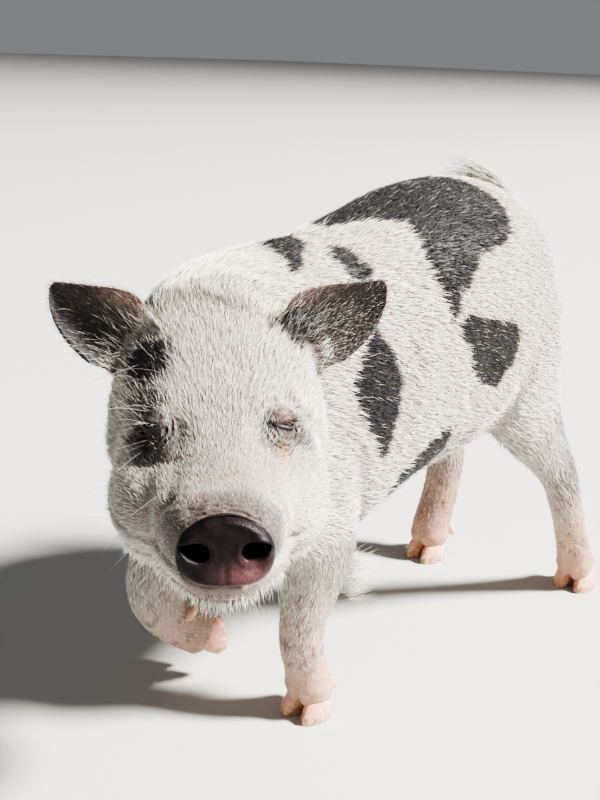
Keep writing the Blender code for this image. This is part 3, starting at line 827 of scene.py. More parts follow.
PATCHES = (
    Patch(
        "saddle",
        (
            (-0.022, 2), (-0.01, 3), (-0.001, 7), (0.007, 14), (0.018, 19), (0.017, 25),
            (0.015, 31), (0.01, 38), (0.009, 44), (0.011, 51), (0.015, 57), (0.017, 65),
            (0.021, 71), (0.029, 64), (0.034, 57), (0.046, 52), (0.057, 47), (0.067, 43),
            (0.085, 42), (0.102, 40), (0.11, 36), (0.117, 31), (0.117, 25), (0.115, 19),
            (0.11, 13), (0.113, 0), (0.116, -14), (0.104, -34), (0.07, -44), (0.03, -38),
            (0.0, -28), (-0.02, -15), (-0.025, -5),
        ),
    ),
    Patch(
        "thigh",
        (
            (0.027, 70), (0.038, 67), (0.058, 71), (0.082, 73), (0.096, 76), (0.102, 82),
            (0.103, 91), (0.094, 99), (0.085, 105), (0.075, 109), (0.061, 105), (0.048, 99),
            (0.038, 91), (0.035, 84), (0.031, 78),
        ),
    ),
    Patch(
        "shoulder",
        (
            (-0.052, 64), (-0.045, 73), (-0.039, 80), (-0.036, 86), (-0.032, 94),
            (-0.031, 101), (-0.034, 111), (-0.037, 117), (-0.04, 123), (-0.043, 126),
            (-0.049, 123), (-0.053, 117), (-0.059, 111), (-0.064, 105), (-0.068, 99),
            (-0.07, 91), (-0.067, 84), (-0.063, 79), (-0.058, 72),
        ),
        0.0015,
    ),
    Patch(
        "withers",
        (
            (-0.051, 16), (-0.042, 20), (-0.04, 26), (-0.039, 30), (-0.039, 35),
            (-0.04, 39), (-0.049, 38), (-0.053, 33), (-0.054, 27), (-0.057, 24),
        ),
        0.0035,
    ),
    Patch(
        "crest",
        (
            (-0.09, -2), (-0.074, -14), (-0.056, -26), (-0.046, -16), (-0.058, -4),
            (-0.065, 5), (-0.074, 12), (-0.084, 17), (-0.093, 24), (-0.102, 26),
            (-0.095, 18), (-0.093, 11), (-0.094, 5),
        ),
        0.004,
    ),
    Patch(
        "belly",
        (
            (-0.02, 141), (-0.002, 133), (0.014, 127), (0.028, 124), (0.036, 132),
            (0.03, 146), (0.01, 156), (-0.014, 154),
        ),
        0.0028,
    ),
    Patch(
        "right shoulder",
        (
            (-0.055, -58), (-0.02, -66), (0.002, -84), (-0.002, -106), (-0.024, -118),
            (-0.048, -102), (-0.06, -80),
        ),
    ),
    Patch(
        "right rump",
        (
            (0.062, -64), (0.094, -58), (0.124, -72), (0.126, -98), (0.098, -112),
            (0.072, -104), (0.058, -84),
        ),
    ),
)


class Tint(Enum):
    """What a soft mark changes."""

    PIGMENT = "pigment"
    # Grey skin; on the face partly painted shade.
    DUSK = "dusk"
    # Pink skin; on the nose disc the same attribute holds a painted highlight.
    FLUSH = "flush"
    RUST = "rust"


class Space(Enum):
    """Frame in which a soft mark or a fold is given."""

    SKULL = "skull"
    SCENE = "scene"


@dataclass(frozen=True)
class Mark:
    """Soft ellipsoid of tint."""

    tint: Tint
    space: Space
    centre: Row
    radii: Row
    strength: float = 1.0
    soft: float = 0.35


def marks(tint: Tint, space: Space, *rows: tuple) -> tuple[Mark, ...]:
    """Marks of one tint from rows of centre, radii, strength and softness."""
    return tuple(Mark(tint, space, *row) for row in rows)


MARKS = (
    # Face: black by the ear roots, grey round the eyes and over the muzzle. Some marks are painted shade: on
    # the animal's right round the eye, beside the muzzle and on the cheek, and between the hairs over the
    # whole face.
    *marks(
        Tint.PIGMENT, Space.SKULL,
        ((-0.044, -0.037, 0.03), (0.015, 0.023, 0.016), 1.0, 0.5),
        ((-0.043, -0.013, 0.01), (0.011, 0.017, 0.013), 0.75, 0.6),
        # Black in the right eye's hollow: partly the temple's black, partly painted shade.
        ((-0.042, 0.008, -0.006), (0.014, 0.02, 0.013), 0.85, 0.7),
        ((0.054, -0.062, 0.045), (0.015, 0.013, 0.015)),
        ((0.0415, 0.004, -0.0005), (0.009, 0.01, 0.006), 0.65, 0.9),
    ),
    *marks(
        Tint.DUSK, Space.SKULL,
        # Grey round the right eye, larger and softer than round the left: partly grey skin, partly painted
        # shade in the hollow.
        ((-0.0385, 0.01, -0.004), (0.019, 0.026, 0.018), 1.0),
        ((0.0405, 0.005, -0.003), (0.0185, 0.02, 0.016), 1.0, 0.5),
        ((0.0, 0.085, -0.036), (0.045, 0.032, 0.033), 1.0, 0.4),
        ((0.0, 0.043, -0.011), (0.021, 0.026, 0.018), 0.6, 0.7),
        # Grey beside the muzzle and on the cheek, on the right side only: painted shade.
        ((-0.03, 0.062, -0.032), (0.015, 0.026, 0.023), 0.75, 0.5),
        ((-0.044, 0.02, -0.034), (0.024, 0.04, 0.03), 0.55, 0.8),
        # Grey over the whole face: partly grey skin, partly painted shade between the hairs.
        ((0.0, 0.01, -0.01), (0.045, 0.065, 0.048), 0.55, 0.6),
    ),
    *marks(
        Tint.FLUSH, Space.SKULL,
        ((0.01, 0.052, -0.011), (0.015, 0.011, 0.009), 0.85, 0.6),
        ((0.038, 0.012, -0.011), (0.006, 0.006, 0.006), 0.9, 0.8),
    ),
    # Tear stains below the inner corners of the eyes, crust on the lids.
    *marks(
        Tint.RUST, Space.SKULL,
        ((0.0365, 0.016, -0.0135), (0.0035, 0.006, 0.006), 0.75, 0.8),
        ((0.043, 0.006, 0.0075), (0.007, 0.006, 0.0032), 0.75, 0.8),
        ((-0.037, 0.015, -0.013), (0.003, 0.005, 0.0045), 0.2, 0.8),
    ),
    # Legs: pink below the knees and hocks, with grey mottles.
    *marks(
        Tint.FLUSH, Space.SCENE,
        ((0.004, -0.078, 0.015), (0.04, 0.04, 0.075), 0.75, 0.9),
        ((-0.09, -0.11, 0.035), (0.04, 0.05, 0.055), 0.75, 0.8),
        ((0.02, 0.255, 0.02), (0.05, 0.07, 0.09), 0.85, 0.8),
        ((-0.115, 0.22, 0.03), (0.05, 0.06, 0.11), 0.85, 0.8),
    ),
    *marks(
        Tint.DUSK, Space.SCENE,
        ((0.032, 0.218, 0.128), (0.017, 0.026, 0.03), 0.75, 0.6),
        ((-0.112, 0.225, 0.105), (0.02, 0.02, 0.022), 0.55, 0.7),
        ((-0.112, 0.228, 0.055), (0.016, 0.016, 0.016), 0.45, 0.7),
        ((-0.093, -0.145, 0.096), (0.025, 0.025, 0.03), 0.35, 0.8),
    ),
)


class Markings:
    """Tints of the skin and coat at any place of the body."""

    EDGE = 0.0022
    WOBBLE = 0.0026
    FRAY = 0.0012
    LEG_GREY = 0.62
    # Part, side, black over the ear, and how much less at the upper rim.
    EAR_SHADES = ((Part.EAR_RIGHT, -1, 0.97, 0.55), (Part.EAR_LEFT, 1, 0.92, 0.18))

    @staticmethod
    def lay(values: dict[Tint, Array], tint: Tint, cover: Array) -> None:
        """Raise one tint to a cover."""
        values[tint] = np.maximum(values[tint], cover)

    def read(self, places: Array, parts: Array) -> dict[Tint, Array]:
        """Tints at places.

        Args:
            places: Scene places, N by 3.
            parts: Value of the Part of each place.

        Returns:
            A value from 0 to 1 for each tint and place.
        """
        skull = SKULL_FRAME.read(places)
        values = {tint: np.zeros(len(places)) for tint in Tint}
        for mark in MARKS:
            here = skull if mark.space is Space.SKULL else places
            reach = np.linalg.norm((here - np.array(mark.centre)) / np.array(mark.radii), axis=1)
            reach += 0.12 * mottle(places, 0.018, 3)
            near = 1.0 - smoothstep(1.0 - mark.soft, 1.0 + mark.soft, reach)
            self.lay(values, mark.tint, mark.strength * near)
        on_trunk = ~among(parts, Part.HEAD, *EARS, Part.TAIL)
        chart = TrunkChart.read(places)
        wobble = self.WOBBLE * mottle(places, 0.014, 8) + self.FRAY * mottle(places, 0.004, 9)
        for patch in PATCHES:
            depth = patch.depth(chart) + wobble
            self.lay(values, Tint.PIGMENT, smoothstep(-self.EDGE, self.EDGE, depth) * on_trunk)
        for part, side, shade, pale in self.EAR_SHADES:
            share, beside = EAR.read(places, side)
            rim = smoothstep(0.3, 0.8, -beside) * (1.0 - smoothstep(0.35, 0.75, share))
            here = parts == part.value
            self.lay(values, Tint.PIGMENT, (shade - pale * rim) * here)
            self.lay(values, Tint.FLUSH, (0.5 + 0.5 * rim) * here)
        on_leg = among(parts, *LEGS) * (1.0 - smoothstep(0.1, 0.16, places[:, 2]))
        above_claws = smoothstep(0.025, 0.05, places[:, 2])
        speckle = smoothstep(0.1, 0.75, mottle(places, 0.012, 5))
        speckle = speckle + 0.5 * smoothstep(0.3, 0.9, mottle(places, 0.005, 6))
        grey = self.LEG_GREY * np.clip(speckle, 0.0, 1.0) * on_leg * above_claws
        self.lay(values, Tint.DUSK, grey)
        return values


# The hide


@dataclass(frozen=True)
class Fold:
    """Groove or ridge pressed into the skin along a path."""

    name: str
    space: Space
    path: tuple[Row, ...]
    height: float
    width: float
    both_sides: bool = False


@dataclass(frozen=True)
class Groove:
    """Cross-section of a groove or, where its height is positive, a ridge."""

    height: float
    width: float
    at: float = 0.0

    def read(self, gap: Array) -> Array:
        """Height at distances from a line, highest where the gap is self.at."""
        return self.height * bell(gap - self.at, self.width)


MOUTH = Groove(-0.0024, 0.0016)
LIP = Groove(0.001, 0.0026, 0.0042)
CLEFT = Groove(-0.0036, 0.003)
CORONET = Groove(0.001, 0.0035, 0.0255)
# Creases of the muzzle, at distances behind the disc.
SNOUT_CREASES = (
    Groove(-0.0017, 0.0009, 0.0028),
    Groove(-0.0014, 0.0009, 0.0068),
    Groove(-0.0009, 0.0012, 0.0105),
)

FOLDS = (
    Fold(
        "cheek fold", Space.SKULL,
        ((0.047, -0.004, 0.01), (0.058, -0.016, -0.012), (0.068, -0.034, -0.044),
         (0.065, -0.028, -0.066), (0.053, -0.008, -0.08)),
        -0.0026, 0.0055, True,
    ),
    Fold(
        "face edge", Space.SKULL,
        ((0.05, 0.0, 0.004), (0.055, -0.004, -0.016), (0.06, -0.01, -0.04), (0.056, 0.0, -0.064)),
        0.0022, 0.006, True,
    ),
    Fold(
        "lower lid fold", Space.SKULL,
        ((0.026, 0.019, -0.006), (0.034, 0.016, -0.0125), (0.043, 0.009, -0.0125), (0.05, 0.0, -0.006)),
        -0.001, 0.0018, True,
    ),
    Fold(
        "bag under the eye", Space.SKULL,
        ((0.024, 0.024, -0.012), (0.034, 0.021, -0.019), (0.045, 0.011, -0.02), (0.052, -0.001, -0.012)),
        -0.0008, 0.0022, True,
    ),
    Fold(
        "upper lid fold", Space.SKULL,
        ((0.025, 0.016, 0.004), (0.032, 0.011, 0.0095), (0.041, 0.004, 0.0095), (0.049, -0.004, 0.004)),
        -0.0012, 0.0019, True,
    ),
    Fold(
        "brow", Space.SKULL,
        ((0.02, 0.01, 0.01), (0.03, 0.004, 0.016), (0.043, -0.008, 0.017), (0.051, -0.017, 0.01)),
        0.003, 0.006, True,
    ),
    Fold(
        "bridge", Space.SKULL,
        ((0.0, 0.02, -0.002), (0.0, 0.07, -0.014)), 0.002, 0.012,
    ),
    Fold(
        "muzzle side", Space.SKULL,
        ((0.026, 0.062, -0.018), (0.035, 0.058, -0.03), (0.038, 0.053, -0.046), (0.037, 0.048, -0.06)),
        -0.0024, 0.0034, True,
    ),
    Fold(
        "bridge side", Space.SKULL,
        ((0.025, 0.022, -0.01), (0.027, 0.042, -0.018), (0.03, 0.06, -0.024)), -0.0024, 0.008, True,
    ),
    Fold(
        "flank web", Space.SCENE,
        ((0.03, 0.06, 0.195), (0.037, 0.085, 0.212), (0.043, 0.105, 0.235)), 0.004, 0.011,
    ),
    Fold(
        "stifle hollow", Space.SCENE,
        ((0.042, 0.04, 0.225), (0.044, 0.06, 0.24), (0.047, 0.075, 0.262)), -0.003, 0.012,
    ),
    Fold(
        "shoulder hollow", Space.SCENE,
        ((0.03, -0.02, 0.3), (0.04, -0.024, 0.255), (0.038, -0.03, 0.21)), -0.0018, 0.012,
    ),
    Fold(
        "left hock groove", Space.SCENE,
        ((0.023, 0.19, 0.15), (0.023, 0.214, 0.126), (0.023, 0.232, 0.1)), -0.002, 0.005,
    ),
    Fold(
        "right hock groove", Space.SCENE,
        ((-0.108, 0.206, 0.15), (-0.11, 0.224, 0.124), (-0.112, 0.232, 0.095)), -0.002, 0.005,
    ),
)


@dataclass(frozen=True)
class Foot:
    """Frame of a foot: point under it, turn about the upright and pitch."""

    place: Row
    turn: float
    pitch: float

    def matrix(self) -> Matrix:
        """Frame with X to the animal's left, -Y to the toes and Z up."""
        spin = Matrix.Rotation(self.turn, 4, "Z") @ Matrix.Rotation(self.pitch, 4, "X")
        return Matrix.Translation(Vector(self.place) + BODY_ORIGIN) @ spin

    def read(self, places: Array) -> Array:
        """Scene places in the foot's own frame."""
        matrix = np.array(self.matrix())
        return (places - matrix[:3, 3]) @ matrix[:3, :3]


FEET = {
    "front_left": Foot((0.0445, 0.007, 0.0), math.radians(4), 0.0),
    "front_right": Foot((-0.047, -0.0085, 0.0415), 0.0, math.radians(95)),
    "hind_left": Foot((0.0575, 0.357, 0.0), math.radians(8), 0.0),
    "hind_right": Foot((-0.077, 0.303, 0.0), math.radians(-4), 0.0),
}

FORELEG_LEFT = (
    (0.05, 0.0, 0.215, 0.026, 0.042),
    (0.052, -0.004, 0.17, 0.027, 0.037),
    (0.05, 0.004, 0.135, 0.024, 0.031),
    (0.048, 0.002, 0.11, 0.0205, 0.0245),
    (0.046, -0.004, 0.085, 0.0175, 0.019),
    (0.045, -0.005, 0.062, 0.0165, 0.0165),
    (0.0445, 0.001, 0.042, 0.016, 0.016),
    (0.0445, 0.006, 0.026, 0.018, 0.018),
    (0.0445, 0.008, 0.014, 0.0175, 0.0165),
)
FORELEG_RIGHT = (
    (-0.05, -0.005, 0.215, 0.026, 0.042),
    (-0.054, -0.016, 0.172, 0.027, 0.038),
    (-0.055, -0.034, 0.14, 0.025, 0.032),
    (-0.054, -0.054, 0.112, 0.0215, 0.025),
    (-0.052, -0.064, 0.088, 0.019, 0.02),
    (-0.05, -0.055, 0.067, 0.017, 0.018),
    (-0.048, -0.041, 0.053, 0.0165, 0.0165),
    (-0.0475, -0.03, 0.045, 0.0175, 0.0175),
    (-0.047, -0.0215, 0.041, 0.017, 0.0165),
)
HINDLEG_LEFT = (
    (0.044, 0.226, 0.28, 0.038, 0.056),
    (0.05, 0.228, 0.24, 0.036, 0.053),
    (0.055, 0.236, 0.205, 0.031, 0.044),
    (0.06, 0.254, 0.176, 0.024, 0.031),
    (0.063, 0.278, 0.148, 0.018, 0.022),
    (0.064, 0.299, 0.122, 0.0155, 0.0185),
    (0.063, 0.317, 0.09, 0.0145, 0.0155),
    (0.061, 0.334, 0.058, 0.0145, 0.015),
    (0.059, 0.347, 0.034, 0.016, 0.0165),
    (0.058, 0.353, 0.016, 0.0165, 0.016),
)
HINDLEG_RIGHT = (
    (-0.044, 0.226, 0.28, 0.038, 0.056),
    (-0.051, 0.228, 0.24, 0.037, 0.053),
    (-0.058, 0.235, 0.205, 0.032, 0.046),
    (-0.064, 0.253, 0.176, 0.0265, 0.0345),
    (-0.067, 0.288, 0.148, 0.0205, 0.0245),
    (-0.069, 0.308, 0.122, 0.0185, 0.0205),
    (-0.072, 0.315, 0.09, 0.0175, 0.018),
    (-0.075, 0.312, 0.058, 0.017, 0.0175),
    (-0.0765, 0.305, 0.034, 0.018, 0.018),
    (-0.077, 0.304, 0.016, 0.018, 0.017),
)
LEG_STATIONS = {
    Part.FORELEG_LEFT: FORELEG_LEFT,
    Part.FORELEG_RIGHT: FORELEG_RIGHT,
    Part.HINDLEG_LEFT: HINDLEG_LEFT,
    Part.HINDLEG_RIGHT: HINDLEG_RIGHT,
}

TAIL = (
    (0.0, 0.268, 0.318, 0.015),
    (-0.001, 0.29, 0.331, 0.011),
    (-0.006, 0.3, 0.343, 0.0085),
    (-0.015, 0.303, 0.356, 0.007),
    (-0.026, 0.3, 0.367, 0.0058),
    (-0.037, 0.294, 0.375, 0.0045),
    (-0.046, 0.287, 0.38, 0.0028),
)


@dataclass(frozen=True)
class EyePlace:
    """Place, look and opening of the eyes in the skull frame."""

    spread: float = 0.035
    forward: float = -0.0045
    rise: float = 0.0
    radius: float = 0.0088
    look: Row = (0.62, -0.76, 0.1)
    lid: float = 0.003
    opening: Row = (0.0056, 0.0016)

    def frame(self, side: int) -> Matrix:
        """Frame of an eyeball: Z looks out, X runs along the lids."""
        turn = SKULL_FRAME.matrix().to_3x3()
        aside, ahead, up = self.look
        out = (turn @ Vector((side * aside, ahead, up))).normalized()
        along = turn @ Vector((-ahead, side * aside, -up * side))
        rise = out.cross(along).normalized()
        along = rise.cross(out).normalized()
        centre = SKULL_FRAME.point(side * self.spread, self.forward, self.rise)
        return Matrix.Translation(centre) @ Matrix((along, rise, out)).transposed().to_4x4()


EYE = EyePlace()


@dataclass
class Hide:
    """The animal's one skin, from the muzzle to the tail and the feet."""

    voxel: float = 0.0025
    relax_steps: int = 7
    seam_steps: int = 24
    coat_depth: float = 0.0022
    face_depth: float = 0.0016
    bare_depth: float = 0.0002
    body_sides: int = 36
    leg_sides: int = 24
    squareness: float = 2.25
    skull_squareness: float = 2.35
    # Trunk stations: y, top, bottom, half width.
    trunk: tuple[Row, ...] = (
        (-0.05, 0.292, 0.17, 0.036),
        (-0.038, 0.324, 0.13, 0.058),
        (-0.015, 0.339, 0.11, 0.067),
        (0.02, 0.347, 0.109, 0.078),
        (0.06, 0.355, 0.13, 0.085),
        (0.1, 0.366, 0.147, 0.088),
        (0.145, 0.379, 0.156, 0.089),
        (0.19, 0.384, 0.162, 0.087),
        (0.224, 0.379, 0.17, 0.082),
        (0.253, 0.365, 0.186, 0.073),
        (0.274, 0.345, 0.207, 0.059),
        (0.289, 0.321, 0.233, 0.04),
        (0.296, 0.3, 0.254, 0.019),
    )
    # Neck stations: x, y, z, half width, half height.
    neck: tuple[Row, ...] = (
        (0.0, 0.055, 0.248, 0.07, 0.1),
        (0.002, 0.01, 0.25, 0.072, 0.1),
        (0.005, -0.03, 0.256, 0.066, 0.093),
        (0.015, -0.064, 0.262, 0.06, 0.082),
        (0.031, -0.088, 0.261, 0.055, 0.066),
    )
    # Skull stations: forward, centre height, half width, rise, drop.
    skull: tuple[Row, ...] = (
        (-0.1, 0.0, 0.046, 0.07, 0.05),
        (-0.088, -0.003, 0.057, 0.077, 0.06),
        (-0.07, -0.01, 0.066, 0.075, 0.06),
        (-0.05, -0.018, 0.0685, 0.068, 0.054),
        (-0.03, -0.024, 0.0675, 0.059, 0.049),
        (-0.012, -0.028, 0.062, 0.05, 0.044),
        (0.006, -0.033, 0.053, 0.041, 0.038),
        (0.024, -0.037, 0.0455, 0.034, 0.034),
        (0.042, -0.0385, 0.0405, 0.028, 0.03),
        (0.06, -0.039, 0.036, 0.024, 0.0265),
        (0.074, -0.039, 0.032, 0.0215, 0.0235),
        (0.088, -0.039, 0.025, 0.018, 0.02),
    )
    # Jaw stations: forward, centre height, half width, half height.
    jaw: tuple[Row, ...] = (
        (-0.02, -0.05, 0.056, 0.03),
        (0.0, -0.055, 0.054, 0.0275),
        (0.02, -0.0585, 0.0485, 0.024),
        (0.04, -0.06, 0.041, 0.02),
        (0.06, -0.061, 0.0325, 0.016),
        (0.074, -0.0625, 0.0245, 0.012),
        (0.083, -0.064, 0.018, 0.0095),
        (0.0885, -0.0645, 0.0095, 0.0055),
    )
    jowl: tuple[Row, Row] = ((0.036, -0.01, -0.047), (0.031, 0.054, 0.0345))
    # Line of the mouth: forward, height.
    mouth: tuple[Row, ...] = (
        (0.098, -0.0594),
        (0.088, -0.0594),
        (0.06, -0.056),
        (0.032, -0.053),
        (0.012, -0.048),
    )
    item: Item | None = None
    parts: Array | None = None
    lie: Array | None = None

    def trunk_tube(self) -> Item:
        """Barrel of the body."""
        rings = []
        for y, top, bottom, half_width in finer(self.trunk, 3):
            centre = Vector((0.0, y, (top + bottom) / 2.0)) + BODY_ORIGIN
            frame = Matrix.Translation(centre) @ Matrix.Rotation(math.radians(90), 4, "X")
            half_height = (top - bottom) / 2.0
            size = (half_width, half_height, half_height)
            rings.append(ring(frame, size, self.body_sides, self.squareness))
        return loft("trunk", rings)

    def skull_ring(self, forward: float, height: float, size: Row, power: float) -> list[Vector]:
        """Cross-section of the head at a distance ahead of the brow."""
        frame = SKULL_FRAME.matrix() @ Matrix.Translation((0.0, -forward, height))
        frame = frame @ Matrix.Rotation(math.radians(90), 4, "X")
        return ring(frame, size, self.body_sides, power)

    def head_tubes(self) -> list[Item]:
        """Skull, jaw, jowls and the mounds of the lids."""
        skull = [
            self.skull_ring(forward, height, (half, rise, drop), self.skull_squareness)
            for forward, height, half, rise, drop in finer(self.skull, 3)
        ]
        jaw = [
            self.skull_ring(forward, height, (half, tall, tall), self.squareness)
            for forward, height, half, tall in finer(self.jaw, 3)
        ]
        pieces = [loft("skull", skull), loft("jaw", jaw)]
        turn = SKULL_FRAME.matrix().to_3x3().to_4x4()
        for side in (1, -1):
            place, radii = self.jowl
            centre = SKULL_FRAME.point(side * place[0], place[1], place[2])
            pieces.append(ball("jowl", Matrix.Translation(centre) @ turn, radii))
            lid = EYE.radius + EYE.lid
            pieces.append(ball("lid", EYE.frame(side), (lid * 1.12, lid * 0.96, lid)))
        return pieces

    def grow(self) -> None:
        """Grow the tubes into one surface and join ears and tail to it."""
        pieces = [self.trunk_tube(), path_tube("neck", finer(self.neck, 3), self.body_sides, self.squareness)]
        pieces += self.head_tubes()
        for stations in LEG_STATIONS.values():
            pieces.append(path_tube("leg", finer(stations, 3), self.leg_sides, 2.0))
        self.item = join(pieces, "hide")
        remesh = self.item.modifiers.new("one skin", "REMESH")
        remesh.mode = "VOXEL"
        remesh.voxel_size = self.voxel
        relax = self.item.modifiers.new("relax", "SMOOTH")
        relax.factor = 0.5
        relax.iterations = self.relax_steps
        apply_modifiers(self.item)
        for side in (1, -1):
            boolean(self.item, EAR.build(side), "UNION")
        boolean(self.item, path_tube("tail", finer(TAIL, 4), self.leg_sides, 2.0), "UNION")

    def refine(self) -> None:
        """Split the faces of the muzzle and round the eyes for fine folds."""
        for eye_reach, muzzle_start in ((0.024, 0.046), (0.014, 0.072)):
            mesh = self.item.data
            centres = np.empty(len(mesh.polygons) * 3)
            mesh.polygons.foreach_get("center", centres)
            skull = SKULL_FRAME.read(centres.reshape(-1, 3))
            chosen = (skull[:, 1] > muzzle_start) & (np.abs(skull[:, 0]) < 0.05)
            for side in (1, -1):
                chosen |= distance(skull, (side * EYE.spread * 1.12, 0.004, 0.0)) < eye_reach
            activate(self.item)
            bpy.context.tool_settings.mesh_select_mode = (False, False, True)
            bpy.ops.object.mode_set(mode="EDIT")
            bpy.ops.mesh.select_all(action="DESELECT")
            bpy.ops.object.mode_set(mode="OBJECT")
            mesh.polygons.foreach_set("select", chosen)
            bpy.ops.object.mode_set(mode="EDIT")
            bpy.ops.mesh.subdivide(number_cuts=1)
            bpy.ops.object.mode_set(mode="OBJECT")

    def name_parts(self) -> None:
        """Give every vertex the part of its nearest solid."""
        points, labels = [], []
        for node, part in PART_OF_NODE.items():
            places = places_of(bpy.data.objects[node].data)
            points.append(places)
            labels.append(np.full(len(places), part.value))
        points, labels = np.vstack(points), np.concatenate(labels)
        tree = kdtree.KDTree(len(points))
        for index, point in enumerate(points):
            tree.insert(point, index)
        tree.balance()
        places = places_of(self.item.data)
        self.parts = np.array([labels[tree.find(place)[1]] for place in places])

    def press_folds(self) -> None:
        """Press folds, wrinkles and the mouth into the skin."""
        mesh = self.item.data
        places, normals = places_of(mesh), normals_of(mesh)
        skull = SKULL_FRAME.read(places)
        head = self.parts == Part.HEAD.value
        height = np.zeros(len(places))
        for fold in FOLDS:
            here = skull if fold.space is Space.SKULL else places
            paths = [np.array(fold.path)]
            if fold.both_sides:
                paths.append(paths[0] * np.array((-1.0, 1.0, 1.0)))
            for path in paths:
                gap, share = along_path(here, path)
                ends = smoothstep(0.0, 0.15, share) * smoothstep(0.0, 0.15, 1.0 - share)
                height += fold.height * bell(gap, fold.width) * (0.25 + 0.75 * ends)
        height += self.snout_wrinkles(skull, places) * head
        gap, _ = along_path(skull[:, 1:], np.array(self.mouth))
        beside = smoothstep(0.01, 0.016, np.abs(skull[:, 0]) + 0.4 * np.maximum(skull[:, 1] - 0.06, 0.0))
        height += head * beside * (MOUTH.read(gap) + LIP.read(gap))
        for side in (1, -1):
            hollow = distance(skull, (side * 0.037, 0.01, -0.003))
            under = 1.0 - 0.6 * smoothstep(0.0, 0.012, skull[:, 2])
            height -= 0.0036 * under * bell(hollow - 0.015, 0.0065) * head
            eye = distance(skull, (side * 0.0395, 0.004, 0.0))
            eye += 0.0008 * mottle(places, 0.01, 22)
            rings = np.cos(2.0 * math.pi * eye / 0.0036) * bell(eye - 0.0115, 0.0045)
            height += 0.0007 * rings * head
        height += self.toe_clefts(places)
        set_places(mesh, places + normals * height[:, None])

    @staticmethod
    def snout_wrinkles(skull: Array, places: Array) -> Array:
        """Rings of wrinkles over the muzzle just behind the disc.

        Args:
            skull: Across, forward and rise of each vertex.
            places: Scene places, for the wander of the wrinkles.

        Returns:
            Height for each vertex.
        """
        across, rise = skull[:, 0], skull[:, 2] + 0.0384
        angle = np.arctan2(across, rise)
        wander = 0.0012 * mottle(places, 0.013, 21)
        behind = 0.089 - skull[:, 1] - 0.002 * np.cos(angle) + wander
        top = 1.0 - smoothstep(0.75, 1.3, np.abs(angle))
        reach = smoothstep(-0.003, 0.0, behind) * (1.0 - smoothstep(0.011, 0.016, behind))
        rings = sum(crease.read(behind) for crease in SNOUT_CREASES)
        breaks = np.abs(np.sin(angle * 4.1 + 1.3 * mottle(places, 0.01, 23)))
        scales = -0.0009 * bell(breaks, 0.16) * bell(behind - 0.0052, 0.0026)
        corner = -0.0017 * bell(angle + 0.8, 0.18) * bell(behind - 0.008, 0.004)
        return (rings + scales) * top * reach + corner

    @staticmethod
    def toe_clefts(places: Array) -> Array:
        """Cleft between the toes and rings above the claws of each foot.

        Args:
            places: Scene places, N by 3.

        Returns:
            Height for each place.
        """
        height = np.zeros(len(places))
        for foot in FEET.values():
            local = foot.read(places)
            low = 1.0 - smoothstep(0.024, 0.04, local[:, 2])
            near = (np.abs(local[:, 0]) < 0.03) & (np.abs(local[:, 1]) < 0.035) & (local[:, 2] > -0.004)
            height += CLEFT.read(local[:, 0]) * low * near
            height += CORONET.read(local[:, 2]) * near
        return height

    def soften_seams(self) -> None:
        """Relax the skin where ears and tail join it."""
        mesh = self.item.data
        places = places_of(mesh)
        group = self.item.vertex_groups.new(name="seams")
        weight = np.zeros(len(places))
        skull = SKULL_FRAME.read(places)
        for side in (1, -1):
            seat = np.array((side * 0.06, -0.052, 0.0315))
            normal = np.array((side * 0.8, 0.0, 0.59))
            normal /= np.linalg.norm(normal)
            height = np.abs((skull - seat) @ normal)
            weight += bell(height, 0.006) * (distance(skull, seat) < 0.045)
        tail_root = np.array(Vector((-0.001, 0.288, 0.331)) + BODY_ORIGIN)
        weight += bell(distance(places, tail_root), 0.014)
        nape = np.abs(skull[:, 1] + 0.098) + np.maximum(0.0, 0.005 - skull[:, 2])
        weight += 1.5 * bell(nape, 0.022) * (np.abs(skull[:, 0]) < 0.075)
        for index in np.nonzero(weight > 0.05)[0]:
            group.add([int(index)], float(min(1.0, weight[index])), "REPLACE")
        relax = self.item.modifiers.new("seams", "SMOOTH")
        relax.factor = 0.5
        relax.iterations = self.seam_steps
        relax.vertex_group = "seams"
        apply_modifiers(self.item)
        self.item.vertex_groups.clear()

    def make_room(self) -> None:
        """Draw the skin in by the depth of the coat."""
        mesh = self.item.data
        places, normals = places_of(mesh), normals_of(mesh)
        skull = SKULL_FRAME.read(places)
        depth = np.full(len(places), self.coat_depth)
        face = self.parts == Part.HEAD.value
        to_snout = 1.0 - smoothstep(0.03, 0.07, skull[face, 1])
        depth[face] = self.face_depth * to_snout + self.bare_depth
        depth[among(self.parts, *EARS, Part.TAIL)] = self.bare_depth
        legs = among(self.parts, *LEGS)
        depth[legs] = self.bare_depth + self.face_depth * smoothstep(0.05, 0.14, places[legs, 2])
        depth = self.spread(depth[:, None], 12)[:, 0]
        places -= normals * depth[:, None]
        for side in (1, -1):
            frame = EYE.frame(side)
            centre = np.array(frame.translation)
            reach = distance(places, centre)
            local = (places - centre) @ np.array(frame.to_3x3())
            oval = np.hypot(local[:, 0] / EYE.opening[0], local[:, 1] / EYE.opening[1])
            lids = EYE.radius + 0.0013 + 0.0009 * bell(oval - 1.35, 0.4) - 0.0004 * bell(oval - 2.6, 0.5)
            lids = np.maximum(reach, lids) * (local[:, 2] > 0.0) + reach * (local[:, 2] <= 0.0)
            places = centre + (places - centre) * (lids / np.maximum(reach, 1e-6))[:, None]
        set_places(mesh, places)

